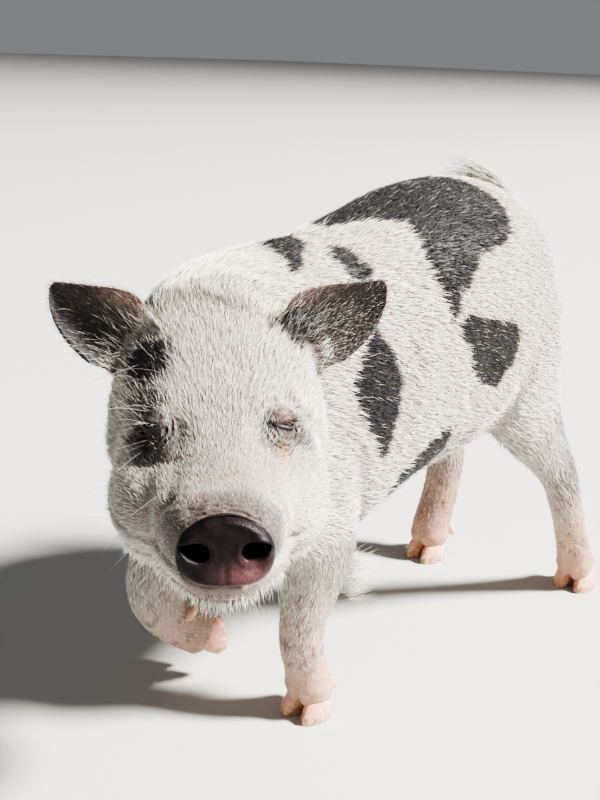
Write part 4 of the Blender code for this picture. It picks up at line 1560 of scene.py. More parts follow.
    def spread(self, values: Array, rounds: int) -> Array:
        """Smooth values over the skin.

        Args:
            values: Values of the vertices, N by D.
            rounds: How often each vertex takes the mean of its neighbours.

        Returns:
            The smoothed values.
        """
        mesh = self.item.data
        pairs = np.empty(len(mesh.edges) * 2, dtype=np.int32)
        mesh.edges.foreach_get("vertices", pairs)
        first, second = pairs.reshape(-1, 2).T
        count = len(mesh.vertices)
        near = np.bincount(first, minlength=count) + np.bincount(second, minlength=count)
        near = np.maximum(near, 1)
        for _ in range(rounds):
            for column in range(values.shape[1]):
                value = values[:, column]
                total = np.bincount(first, value[second], count) + np.bincount(second, value[first], count)
                values[:, column] = 0.5 * value + 0.5 * total / near
        return values

    def comb(self) -> None:
        """Work out the lie of the hair at every vertex."""
        mesh = self.item.data
        places, normals = places_of(mesh), normals_of(mesh)
        skull = SKULL_FRAME.read(places)
        left, forward, up = SKULL_FRAME.axes()
        flank = np.abs(np.sin(TrunkChart.read(places)[:, 1] / TrunkChart.RADIUS))
        lie = np.tile((0.0, 1.0, 0.0), (len(places), 1))
        lie[:, 2] -= 0.3 * flank
        head = (self.parts == Part.HEAD.value)[:, None]
        outward = np.clip(skull[:, 0] / 0.05, -1.0, 1.0)[:, None] * left
        high = smoothstep(-0.05, 0.0, skull[:, 2])[:, None]
        jaw = (1.0 - smoothstep(-0.072, -0.056, skull[:, 2]))[:, None]
        crown = smoothstep(-0.085, -0.045, skull[:, 1])[:, None]
        face = -forward + outward * (0.45 + 0.15 * high) * crown + up * (0.55 * high * crown - 0.12)
        beard = -0.45 * forward + 0.35 * outward - 1.1 * up
        lie = np.where(head, face * (1.0 - jaw) + beard * jaw, lie)
        for side, part in ((1, Part.EAR_LEFT), (-1, Part.EAR_RIGHT)):
            along, across, _ = EAR.frame(side)
            root, _ = EAR.axis(side)
            aside = np.sign((places - np.array(root)) @ np.array(across))[:, None]
            leaf = np.array(along.normalized()) + 0.35 * aside * np.array(across)
            lie = np.where((self.parts == part.value)[:, None], leaf, lie)
        for part, stations in LEG_STATIONS.items():
            path = np.array(stations)[:, :3] + np.array(BODY_ORIGIN)
            lie = np.where((self.parts == part.value)[:, None], self.follow(places, path), lie)
        path = np.array(TAIL)[:, :3] + np.array(BODY_ORIGIN)
        lie = np.where((self.parts == Part.TAIL.value)[:, None], self.follow(places, path), lie)
        lie = self.spread(unit(lie), 22)
        lie -= normals * (lie * normals).sum(axis=1, keepdims=True)
        self.lie = unit(lie)

    @staticmethod
    def follow(places: Array, path: Array) -> Array:
        """Direction of a path at the place nearest to each point."""
        _, share = along_path(places, path)
        index = np.minimum((share * (len(path) - 1)).astype(int), len(path) - 2)
        return unit(path[index + 1] - path[index])

    def open_eyes(self) -> None:
        """Cut the slit between the lids of each eye."""
        for side in (1, -1):
            frame = EYE.frame(side) @ Matrix.Translation((0.0, 0.0, EYE.radius))
            radii = (*EYE.opening, EYE.radius * 0.72)
            boolean(self.item, ball("opening", frame, radii), "DIFFERENCE")

    def unwrap(self) -> None:
        """Unwrap the skin by its own shape."""
        with editing(self.item):
            bpy.ops.uv.smart_project(angle_limit=math.radians(66), island_margin=0.002)

    def dress(self, markings: Markings) -> None:
        """Tint, shade and place the skin in the model."""
        mesh = self.item.data
        tints = markings.read(places_of(mesh), self.parts)
        for tint, values in tints.items():
            store(mesh, tint.value, values)
        mesh.shade_smooth()
        mesh.materials.clear()
        mesh.materials.append(HideFinish().material())
        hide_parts(*FLESH_NODES)
        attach(self.item, "root")

    def build(self, markings: Markings) -> Item:
        """Make the whole skin.

        Args:
            markings: Tints of the body.

        Returns:
            The skin.
        """
        self.grow()
        self.refine()
        self.name_parts()
        self.press_folds()
        self.soften_seams()
        self.make_room()
        self.open_eyes()
        self.name_parts()
        self.comb()
        self.unwrap()
        self.dress(markings)
        LOG.info("hide: %d faces", len(self.item.data.polygons))
        return self.item


# Nose, eyes and claws


@dataclass
class SnoutDisc:
    """Bare disc at the end of the muzzle, with its rim and nostrils."""

    forward: float = 0.1
    height: float = -0.0384
    half_width: float = 0.0258
    rise: float = 0.0192
    drop: float = 0.0205
    back: float = 0.014
    # Wall behind the face: share of the rim, distance behind the face.
    wall: tuple[Row, ...] = ((1.01, 0.0052), (0.99, 0.0075), (0.955, 0.0098), (0.93, 0.012))
    upper_power: float = 1.06
    lower_power: float = 0.74
    nostril: Row = (0.0162, 0.0012)
    nostril_radii: Row = (0.0079, 0.005)
    nostril_tilt: float = math.radians(15)
    rounds: int = 84
    columns: int = 192

    def outline(self, angle: Array) -> tuple[Array, Array]:
        """Across and rise of the rim; the upper half is narrower."""
        cosine, sine = np.cos(angle), np.sin(angle)
        power = np.where(sine > 0.0, self.upper_power, self.lower_power)
        up = np.sign(sine) * np.abs(sine) ** power
        across = np.sign(cosine) * np.abs(cosine) ** power
        tall = np.where(up > 0.0, self.rise, self.drop)
        return across * self.half_width, up * tall

    def relief(self, across: Array, rise: Array, share: Array) -> tuple[Array, Array]:
        """Forward relief of the face and how deep a point lies in a nostril.

        Args:
            across: Distance to the animal's left of the disc's middle.
            rise: Height above the disc's middle.
            share: Share of the way from the middle to the rim.

        Returns:
            Relief in metres, and depth share inside the nostrils, which the finish paints as shade.
        """
        relief = 0.0003 * bell(share - 0.8, 0.12) - 0.0042 * np.maximum(0.0, (share - 0.8) / 0.2) ** 2.4
        relief -= 0.0006 * bell(across, 0.0018) * (1.0 - smoothstep(-0.006, -0.002, rise))
        relief -= 0.003 * np.maximum(0.0, rise / self.rise - 0.15) ** 2.0
        relief += 0.0012 * bell(across, 0.006) * bell(rise - 0.001, 0.008)
        relief += 0.0008 * bell(np.hypot(np.abs(across) - 0.011, rise + 0.011), 0.0055)
        inside = np.zeros_like(across)
        for side in (1, -1):
            out, up = side * across - self.nostril[0], rise - self.nostril[1]
            cosine, sine = math.cos(self.nostril_tilt), math.sin(self.nostril_tilt)
            wide = (out * cosine + up * sine) / self.nostril_radii[0]
            taper = 1.0 - 0.32 * np.clip(wide, -1.0, 1.2)
            tall = (up * cosine - out * sine) / (self.nostril_radii[1] * taper)
            gap = np.hypot(wide, tall)
            hole = np.clip(1.0 - gap**2, 0.0, 1.0) ** 0.5 * (1.0 - 0.45 * smoothstep(0.0, 1.0, wide))
            relief += 0.0006 * bell(gap - 1.3, 0.25) * (1.0 - hole) - 0.0105 * hole
            # The share painted as shade reaches up the nostrils' walls.
            inside = np.maximum(inside, smoothstep(0.02, 0.35, hole))
        return relief, inside

    def build(self) -> Item:
        """Make the disc as one closed piece.

        Returns:
            The disc.
        """
        angle = np.linspace(0.0, 2.0 * math.pi, self.columns, endpoint=False)
        rim_across, rim_rise = self.outline(angle)
        shares = np.linspace(0.0, 1.0, self.rounds + 1)[1:]
        across = np.outer(shares, rim_across)
        rise = np.outer(shares, rim_rise)
        relief, inside = self.relief(across, rise, shares[:, None] * np.ones_like(across))
        places = [np.stack((across, self.forward + relief, rise + self.height), axis=-1)]
        flags = [inside]
        for share, behind in (*self.wall, (0.9, self.back)):
            deep = np.full(self.columns, self.forward - behind)
            sizes = (rim_across * share, deep, rim_rise * share + self.height)
            places.append(np.stack(sizes, axis=-1)[None])
            flags.append(np.zeros((1, self.columns)))
        rows = np.vstack(places)
        middle = np.array(((0.0, self.forward, self.height), (0.0, self.forward - self.back, self.height)))
        points = SKULL_FRAME.scene(np.vstack((rows.reshape(-1, 3), middle)))
        faces = self.faces(len(rows), self.columns)
        mesh = bpy.data.meshes.new("snout")
        mesh.from_pydata(points.tolist(), [], faces)
        item = new_object("snout", mesh)
        with editing(item):
            bpy.ops.mesh.normals_make_consistent(inside=False)
        self.dress(item, np.concatenate((np.vstack(flags).ravel(), (0.0, 0.0))))
        LOG.info("snout: %d faces", len(mesh.polygons))
        return item

    @staticmethod
    def faces(rows: int, columns: int) -> list[tuple[int, ...]]:
        """Faces of the polar grid, closed in the middle of face and back.

        Args:
            rows: Rings of the grid.
            columns: Points of a ring.

        Returns:
            Corner numbers of each face.
        """
        faces = []
        front, back = rows * columns, rows * columns + 1
        last = (rows - 1) * columns
        for column in range(columns):
            beside = (column + 1) % columns
            faces.append((front, column, beside))
            faces.append((back, last + beside, last + column))
        for row in range(rows - 1):
            for column in range(columns):
                beside = (column + 1) % columns
                start, end = row * columns, (row + 1) * columns
                faces.append((start + column, end + column, end + beside, start + beside))
        return faces

    @staticmethod
    def dress(item: Item, inside: Array) -> None:
        """Tint and place the disc in the model."""
        mesh = item.data
        skull = SKULL_FRAME.read(places_of(mesh))
        # Painted highlight: a pinker patch low on the disc's left, and a faint pink band along the disc's
        # bottom edge.
        flush = bell(np.hypot((skull[:, 0] - 0.0105) / 0.0105, (skull[:, 2] + 0.0505) / 0.007), 1.0)
        flush = np.maximum(flush, 0.25 * bell(skull[:, 2] + 0.058, 0.003))
        store(mesh, "inside", inside)
        store(mesh, "flush", 0.8 * flush)
        mesh.shade_smooth()
        mesh.materials.append(SnoutFinish().material())
        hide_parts("snout_disc")
        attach(item, "root")


@dataclass
class Eyes:
    """Eyeballs with their corneas, and the moist rims of the lids."""

    segments: int = 64
    cornea: float = 0.0007
    rim: float = 0.00055

    def eyeball(self, side: int, finish: bpy.types.Material) -> Item:
        """One eyeball, its pole at the pupil.

        Args:
            side: 1 for the left eye, -1 for the right.
            finish: Material of the eye.

        Returns:
            The eyeball.
        """
        clear_selection()
        bpy.ops.mesh.primitive_uv_sphere_add(
            segments=self.segments, ring_count=self.segments // 2, radius=EYE.radius
        )
        item = bpy.context.active_object
        item.name = "eyeball_" + ("left" if side > 0 else "right")
        mesh = item.data
        places = places_of(mesh)
        tilt = np.arccos(np.clip(places[:, 2] / EYE.radius, -1.0, 1.0))
        places += unit(places) * (self.cornea * bell(tilt, 0.45))[:, None]
        set_places(mesh, places)
        store(mesh, "gaze", tilt)
        mesh.transform(EYE.frame(side))
        mesh.shade_smooth()
        mesh.materials.append(finish)
        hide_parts("eye_left" if side > 0 else "eye_right")
        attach(item, "root")
        return item

    def lid_rim(self, side: int) -> Item:
        """Thin moist rim along the edge of the lids.

        Args:
            side: 1 for the left eye, -1 for the right.

        Returns:
            The rim.
        """
        rings = []
        count = 56
        frame = EYE.frame(side)
        for index in range(count + 1):
            angle = 2.0 * math.pi * index / count
            flat = Vector((math.cos(angle) * EYE.opening[0], math.sin(angle) * EYE.opening[1], 0.0))
            flat.z = math.sqrt(max(0.0, (EYE.radius + 0.001) ** 2 - flat.x**2 - flat.y**2))
            tangent = Vector((-math.sin(angle) * EYE.opening[0], math.cos(angle) * EYE.opening[1], 0.0))
            section = frame_at(flat, tangent, flat)
            size = (self.rim * 1.3, self.rim, self.rim)
            rings.append([frame @ point for point in ring(section, size, 8, 2.0)])
        item = loft("lid_rim", rings)
        item.data.shade_smooth()
        return item

    def build(self) -> list[Item]:
        """Make both eyes.

        Returns:
            The eyeballs and the joined lid rims.
        """
        finish = EyeFinish().material()
        pieces = [self.eyeball(side, finish) for side in (1, -1)]
        rims = join([self.lid_rim(side) for side in (1, -1)], "lid_rims")
        rims.data.materials.clear()
        nodes = Nodes("lid_rim")
        tint = nodes.mix(nodes.noise(600.0), (0.025, 0.016, 0.015), (0.1, 0.05, 0.045))
        rims.data.materials.append(nodes.finish(tint, 0.25))
        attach(rims, "root")
        LOG.info("eyes: %d pieces", len(pieces) + 1)
        return pieces + [rims]


@dataclass
class Claws:
    """Claws and dewclaws of all four feet."""

    crease_angle: float = math.radians(55)
    flat_angle: float = math.radians(60)
    crease: float = 0.75
    weld: float = 0.00001
    levels: int = 3

    def build(self) -> Item:
        """Round the solids of the claws off into smooth horn.

        Returns:
            All claws as one piece.
        """
        nodes = [
            f"{kind}_{foot}_{place}"
            for kind in ("hoof", "dewclaw")
            for foot in FEET
            for place in ("inner", "outer")
        ]
        copies = [new_object("claw", bpy.data.objects[node].data.copy()) for node in nodes]
        claws = join(copies, "claws")
        flat = self.flat_angle
        with editing(claws):
            bpy.ops.mesh.remove_doubles(threshold=self.weld)
            bpy.ops.mesh.tris_convert_to_quads(face_threshold=flat, shape_threshold=flat)
            bpy.ops.mesh.select_all(action="DESELECT")
            bpy.ops.mesh.edges_select_sharp(sharpness=self.crease_angle)
            bpy.ops.transform.edge_crease(value=self.crease)
        smooth = claws.modifiers.new("round", "SUBSURF")
        smooth.levels = self.levels
        smooth.render_levels = self.levels
        apply_modifiers(claws)
        self.dress(claws, nodes)
        LOG.info("claws: %d faces", len(claws.data.polygons))
        return claws

    @staticmethod
    def dress(claws: Item, nodes: list[str]) -> None:
        """Tint and place the claws in the model."""
        mesh = claws.data
        places = places_of(mesh)
        wear = np.zeros(len(places))
        for foot in FEET.values():
            local = foot.read(places)
            near = distance(local, (0.0, 0.0, 0.01)) < 0.05
            wear = np.maximum(wear, near * (1.0 - smoothstep(0.0, 0.016, local[:, 2])))
        store(mesh, "wear", wear)
        mesh.shade_smooth()
        mesh.materials.clear()
        mesh.materials.append(ClawFinish().material())
        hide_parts(*nodes)
        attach(claws, "root")


# The coat


@dataclass(frozen=True)
class Zone:
    """Stretch of coat with its own number and kind of bristles."""

    name: str
    count: int
    length: float
    width: float
    lift: float


class Bristles:
    """Builds many bristles as one mesh of closed, tapered, three-sided tufts."""

    SIDES = 3
    PATCH = 0.003
    FLATNESS = 0.6

    def __init__(self, name: str, material: bpy.types.Material) -> None:
        """Keep the name and finish of the piece."""
        self.name = name
        self.material = material

    def build(
        self,
        lines: Array,
        widths: Array,
        flat: Array,
        charts: Array,
        tints: dict[str, Array],
    ) -> Item:
        """Make the mesh of all bristles.

        Args:
            lines: Places along each bristle, N by K by 3, root first.
            widths: Half widths at all places but the tip, N by K-1.
            flat: Direction across each bristle, N by 3.
            charts: Place of each root on the skin's unwrap, N by 2.
            tints: Values of each bristle by attribute name.

        Returns:
            The piece, riding on the body.
        """
        number, steps = lines.shape[:2]
        rings = steps - 1
        way = unit(lines[:, 1] - lines[:, 0])
        across = unit(flat - way * (flat * way).sum(axis=1, keepdims=True))
        raised = np.cross(way, across)
        angles = 2.0 * math.pi * np.arange(self.SIDES) / self.SIDES
        wide = np.cos(angles)[None, :, None]
        tall = self.FLATNESS * np.sin(angles)[None, :, None]
        wheel = wide * across[:, None] + tall * raised[:, None]
        body = lines[:, :rings, None] + widths[:, :, None, None] * wheel[:, None]
        corners = np.concatenate((body.reshape(number, -1, 3), lines[:, -1:]), axis=1)
        each = corners.shape[1]
        faces = self.faces(rings)
        sizes = np.array([len(face) for face in faces])
        loops = np.concatenate([np.array(face) for face in faces])
        mesh = bpy.data.meshes.new(self.name)
        mesh.vertices.add(number * each)
        mesh.vertices.foreach_set("co", corners.ravel().astype(np.float32))
        mesh.loops.add(number * len(loops))
        offsets = (np.arange(number) * each)[:, None]
        mesh.loops.foreach_set("vertex_index", (loops[None] + offsets).ravel().astype(np.int32))
        mesh.polygons.add(number * len(faces))
        starts = np.concatenate(((0,), np.cumsum(sizes)[:-1]))
        starts = starts[None] + (np.arange(number) * len(loops))[:, None]
        mesh.polygons.foreach_set("loop_start", starts.ravel().astype(np.int32))
        mesh.update(calc_edges=True)
        mesh.shade_smooth()
        layer = mesh.uv_layers.new(name="OFBake")
        spots = self.spots(faces, rings)
        charted = charts[:, None] + spots[None] * self.PATCH
        layer.data.foreach_set("uv", charted.ravel().astype(np.float32))
        share = np.concatenate((np.repeat(np.arange(rings) / rings, self.SIDES), (1.0,)))
        store(mesh, "along", np.tile(share, number))
        for name, values in tints.items():
            store(mesh, name, np.repeat(values, each))
        mesh.materials.append(self.material)
        item = new_object(self.name, mesh)
        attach(item, "root")
        LOG.info("%s: %d bristles", self.name, number)
        return item

    def faces(self, rings: int) -> list[tuple[int, ...]]:
        """Faces of one bristle: root, sides and tip."""
        sides = self.SIDES
        faces: list[tuple[int, ...]] = [tuple(range(sides))[::-1]]
        for row in range(rings - 1):
            low, high = row * sides, (row + 1) * sides
            for side in range(sides):
                beside = (side + 1) % sides
                faces.append((low + side, low + beside, high + beside, high + side))
        top = (rings - 1) * sides
        for side in range(sides):
            faces.append((top + side, top + (side + 1) % sides, rings * sides))
        return faces

    def spots(self, faces: list[tuple[int, ...]], rings: int) -> Array:
        """Place of each face corner in a bristle's patch of the unwrap.

        Args:
            faces: Faces of one bristle.
            rings: Rings of one bristle.

        Returns:
            One place for each corner.
        """
        sides = self.SIDES
        spots = []
        for index, face in enumerate(faces):
            side = (index - 1) % sides
            for corner in face:
                if index == 0:
                    spots.append((corner / sides - 0.5, -0.5 - 0.1 * (corner == 1)))
                elif corner == rings * sides:
                    spots.append(((side + 0.5) / sides - 0.5, 0.5))
                else:
                    row, column = divmod(corner, sides)
                    wrapped = sides if column == 0 and side == sides - 1 else column
                    spots.append((wrapped / sides - 0.5, row / rings - 0.5))
        return np.array(spots)


@dataclass
class Roots:
    """Roots of bristles on the skin."""

    places: Array
    normals: Array
    lie: Array
    charts: Array
    parts: Array
    tints: dict[Tint, Array]


class Skin:
    """Triangles of the hide, from which roots are drawn."""

    def __init__(self, hide: Hide, markings: Markings) -> None:
        """Read the triangles of the hide once."""
        mesh = hide.item.data
        self.markings = markings
        mesh.calc_loop_triangles()
        count = len(mesh.loop_triangles)
        corners = np.empty(count * 3, dtype=np.int32)
        mesh.loop_triangles.foreach_get("vertices", corners)
        self.corners = corners.reshape(-1, 3)
        loops = np.empty(count * 3, dtype=np.int32)
        mesh.loop_triangles.foreach_get("loops", loops)
        chart = np.empty(len(mesh.loops) * 2, dtype=np.float32)
        mesh.uv_layers.active.data.foreach_get("uv", chart)
        self.chart = chart.reshape(-1, 2)[loops].reshape(-1, 3, 2)
        self.places = places_of(mesh)
        self.normals = normals_of(mesh)
        self.lie = hide.lie
        self.parts = hide.parts[self.corners[:, 0]]
        triangle = self.places[self.corners]
        self.centres = triangle.mean(axis=1)
        sides = np.cross(triangle[:, 1] - triangle[:, 0], triangle[:, 2] - triangle[:, 0])
        self.areas = np.linalg.norm(sides, axis=1) / 2.0

    def draw(self, weights: Array, count: int, rng: np.random.Generator) -> Roots:
        """Draw evenly spread roots.

        Args:
            weights: Wanted density of each triangle.
            count: Number of roots.
            rng: Seeded source of chance.

        Returns:
            The roots.
        """
        running = np.cumsum(weights * self.areas)
        marks = (np.arange(count) + rng.uniform(0.0, 1.0, count)) * running[-1] / count
        chosen = np.minimum(np.searchsorted(running, marks), len(running) - 1)
        first, second = np.sqrt(rng.uniform(size=count)), rng.uniform(size=count)
        share = np.stack((1.0 - first, first * (1.0 - second), first * second), axis=1)[:, :, None]
        corners = self.corners[chosen]
        places = (self.places[corners] * share).sum(axis=1)
        parts = self.parts[chosen]
        return Roots(
            places,
            unit((self.normals[corners] * share).sum(axis=1)),
            unit((self.lie[corners] * share).sum(axis=1)),
            (self.chart[chosen] * share).sum(axis=1),
            parts,
            self.markings.read(places, parts),
        )


class Coat:
    """Bristles of the whole body, zone by zone."""

    QUICK_SHARE = 0.35
    ROOT_DEPTH = 0.0005
    ROAN = 0.06
    ZONES = (
        Zone("muzzle", 8500, 0.006, 0.00012, 20.0),
        Zone("face", 16000, 0.0112, 0.00017, 16.0),
        Zone("cheeks", 16000, 0.0128, 0.0002, 15.0),
        Zone("beard", 3500, 0.013, 0.0002, 40.0),
        Zone("neck", 13000, 0.0155, 0.00026, 14.0),
        Zone("left_side", 18500, 0.014, 0.00026, 12.0),
        Zone("left_rump", 17500, 0.014, 0.00026, 12.0),
        Zone("right_side", 11000, 0.0155, 0.00032, 12.0),
        Zone("right_rump", 10000, 0.0155, 0.00032, 12.0),
        Zone("belly", 5000, 0.015, 0.00032, 16.0),
        Zone("forelegs", 10000, 0.013, 0.00024, 14.0),
        Zone("hindlegs", 12000, 0.0145, 0.00025, 13.0),
        Zone("ears", 4500, 0.007, 0.00016, 24.0),
    )

    def __init__(self, skin: Skin) -> None:
        """Keep the skin and make the finish."""
        self.skin = skin
        self.rng = np.random.default_rng(42)
        self.material = CoatFinish().material()

    def weights(self) -> dict[str, Array]:
        """Density of each triangle for every zone.

        Returns:
            Densities by the zone's name.
        """
        skin = self.skin
        skull = SKULL_FRAME.read(skin.centres)
        angle = np.degrees(TrunkChart.read(skin.centres)[:, 1] / TrunkChart.RADIUS)
        part = skin.parts
        head = part == Part.HEAD.value
        trunk = part == Part.TRUNK.value
        forward = skull[:, 1]
        low = (np.abs(angle) > 128) & (skin.centres[:, 1] > -0.03)
        ahead = skin.centres[:, 1] < 0.045
        high = skin.centres[:, 2]
        bare_feet = smoothstep(0.018, 0.045, high) * (0.5 + 0.5 * smoothstep(0.08, 0.19, high))
        snout = 1.0 - smoothstep(0.08, 0.088, forward)
        jaw = head & (skull[:, 2] < -0.066) & (forward > -0.03)
        tints = skin.markings.read(skin.centres, part)
        # Thinner coat over grey skin and painted shade, so more of the darker skin shows.
        thin = 1.0 - 0.62 * tints[Tint.DUSK] * head
        fading = 1.0 - 0.6 * smoothstep(0.068, 0.084, forward)
        eyes = np.ones(len(part))
        for side in (1, -1):
            gap = distance(skull, (side * EYE.spread * 1.15, 0.006, 0.0))
            eyes *= 0.3 + 0.7 * smoothstep(0.005, 0.011, gap)
            eyes *= gap > 0.0058
        fore = among(part, Part.FORELEG_LEFT, Part.FORELEG_RIGHT)
        hind = among(part, Part.HINDLEG_LEFT, Part.HINDLEG_RIGHT)
        return {
            "muzzle": head * ~jaw * (forward > 0.045) * snout * fading,
            "face": head * ~jaw * (forward <= 0.045) * (forward > -0.022) * eyes * thin,
            "cheeks": head * ~jaw * (forward <= -0.022),
            "beard": jaw,
            "neck": part == Part.NECK.value,
            "left_side": trunk * ~low * (angle >= 0.0) * ahead,
            "left_rump": trunk * ~low * (angle >= 0.0) * ~ahead,
            "right_side": trunk * ~low * (angle < 0.0) * ahead,
            "right_rump": trunk * ~low * (angle < 0.0) * ~ahead,
            "belly": trunk * low,
            "forelegs": fore * bare_feet,
            "hindlegs": hind * bare_feet,
            "ears": among(part, *EARS),
        }

    def length_at(self, zone: Zone, roots: Roots) -> Array:
        """Length of each bristle, shorter to the face and the feet.

        Args:
            zone: Zone of the bristles.
            roots: Their roots.

        Returns:
            One length in metres for each root.
        """
        skull = SKULL_FRAME.read(roots.places)
        length = np.full(len(roots.places), zone.length)
        if zone.name == "face":
            length *= 0.5 + 0.5 * (1.0 - smoothstep(-0.01, 0.05, skull[:, 1]))
        if zone.name == "muzzle":
            length *= 0.5 + 0.5 * (1.0 - smoothstep(0.05, 0.082, skull[:, 1]))
        if zone.name in ("face", "cheeks"):
            length *= 1.0 - 0.45 * smoothstep(0.4, 1.0, roots.tints[Tint.DUSK])
        if zone.name in ("forelegs", "hindlegs"):
            length *= 0.36 + 0.64 * smoothstep(0.04, 0.17, roots.places[:, 2])
        length *= 1.0 - 0.25 * roots.tints[Tint.PIGMENT]
        return length * self.rng.uniform(0.65, 1.15, len(length))

    def grow(self, zone: Zone, density: Array) -> Item:
        """Grow the bristles of one zone.

        Args:
            zone: Number and kind of the bristles.
            density: Wanted density of each triangle.

        Returns:
            The piece of coat.
        """
        rng = self.rng
        count = int(zone.count * (1.0))
        area = float((density > 0.0) @ self.skin.areas)
        LOG.info("%s: %.0f cm2, %.0f bristles a cm2", zone.name, area * 1e4, count / (area * 1e4))
        roots = self.skin.draw(density, count, rng)
        length = self.length_at(zone, roots)
        swirl = 0.2 * mottle(roots.places, 0.02, 31) + 0.13 * mottle(roots.places, 0.005, 32)
        swirl += rng.normal(0.0, 0.12, count)
        side = np.cross(roots.normals, roots.lie)
        way = roots.lie * np.cos(swirl)[:, None] + side * np.sin(swirl)[:, None]
        slope = zone.lift * (1.0 + 0.25 * mottle(roots.places, 0.008, 33))
        lift = np.radians(slope + rng.normal(0.0, 5.0, count))
        droop = lift - np.radians(rng.uniform(8.0, 20.0, count))
        start = roots.places - roots.normals * self.ROOT_DEPTH
        bend = rng.normal(0.0, 0.1, count)[:, None] * side
        middle = start + length[:, None] * 0.5 * self.tilt(way, roots.normals, lift)
        tip = middle + length[:, None] * 0.5 * (self.tilt(way, roots.normals, droop) + bend)
        widths = zone.width * rng.uniform(0.75, 1.25, (count, 1)) * np.array((1.0, 0.8))
        roots.tints = self.skin.markings.read((start + tip) / 2.0, roots.parts)
        tints = self.tints(zone, roots)
        maker = Bristles("coat_" + zone.name, self.material)
        return maker.build(np.stack((start, middle, tip), axis=1), widths, side, roots.charts, tints)

    @staticmethod
    def tilt(way: Array, normals: Array, angle: Array) -> Array:
        """Directions raised from the skin by an angle."""
        return way * np.cos(angle)[:, None] + normals * np.sin(angle)[:, None]

    def tints(self, zone: Zone, roots: Roots) -> dict[str, Array]:
        """Pigment and tone of each bristle; patches hold some pale hairs.

        Args:
            zone: Zone of the bristles.
            roots: Their roots, tinted.

        Returns:
            Values from 0 to 1 by attribute name.
        """
        rng = self.rng
        count = len(roots.places)
        pigment = roots.tints[Tint.PIGMENT]
        dusk = roots.tints[Tint.DUSK]
        black = (rng.uniform(size=count) < pigment).astype(float)
        black *= np.where(rng.uniform(size=count) < self.ROAN, 0.6, 1.0)
        # Greyed bristles over grey skin and painted shade.
        greyed = rng.uniform(size=count) < 0.85 * smoothstep(0.4, 1.0, dusk)
        black = np.where(greyed, np.maximum(black, rng.uniform(0.35, 0.85, count)), black)
        tone = rng.beta(2.0, 2.6, count)
        # The beard's bristles lean to high tones and so to cream: partly cream bristles, partly painted glow
        # of light through them.
        if zone.name == "beard":
            tone = rng.beta(4.0, 2.0, count)
        if zone.name == "ears":
            black = np.where(black > 0.5, rng.uniform(0.55, 1.0, count), rng.uniform(0.0, 0.6, count))
        return {"pigment": black, "tone": tone, "rust": roots.tints[Tint.RUST]}

    def build(self) -> None:
        """Grow all zones."""
        weights = self.weights()
        for zone in self.ZONES:
            self.grow(zone, weights[zone.name].astype(float))


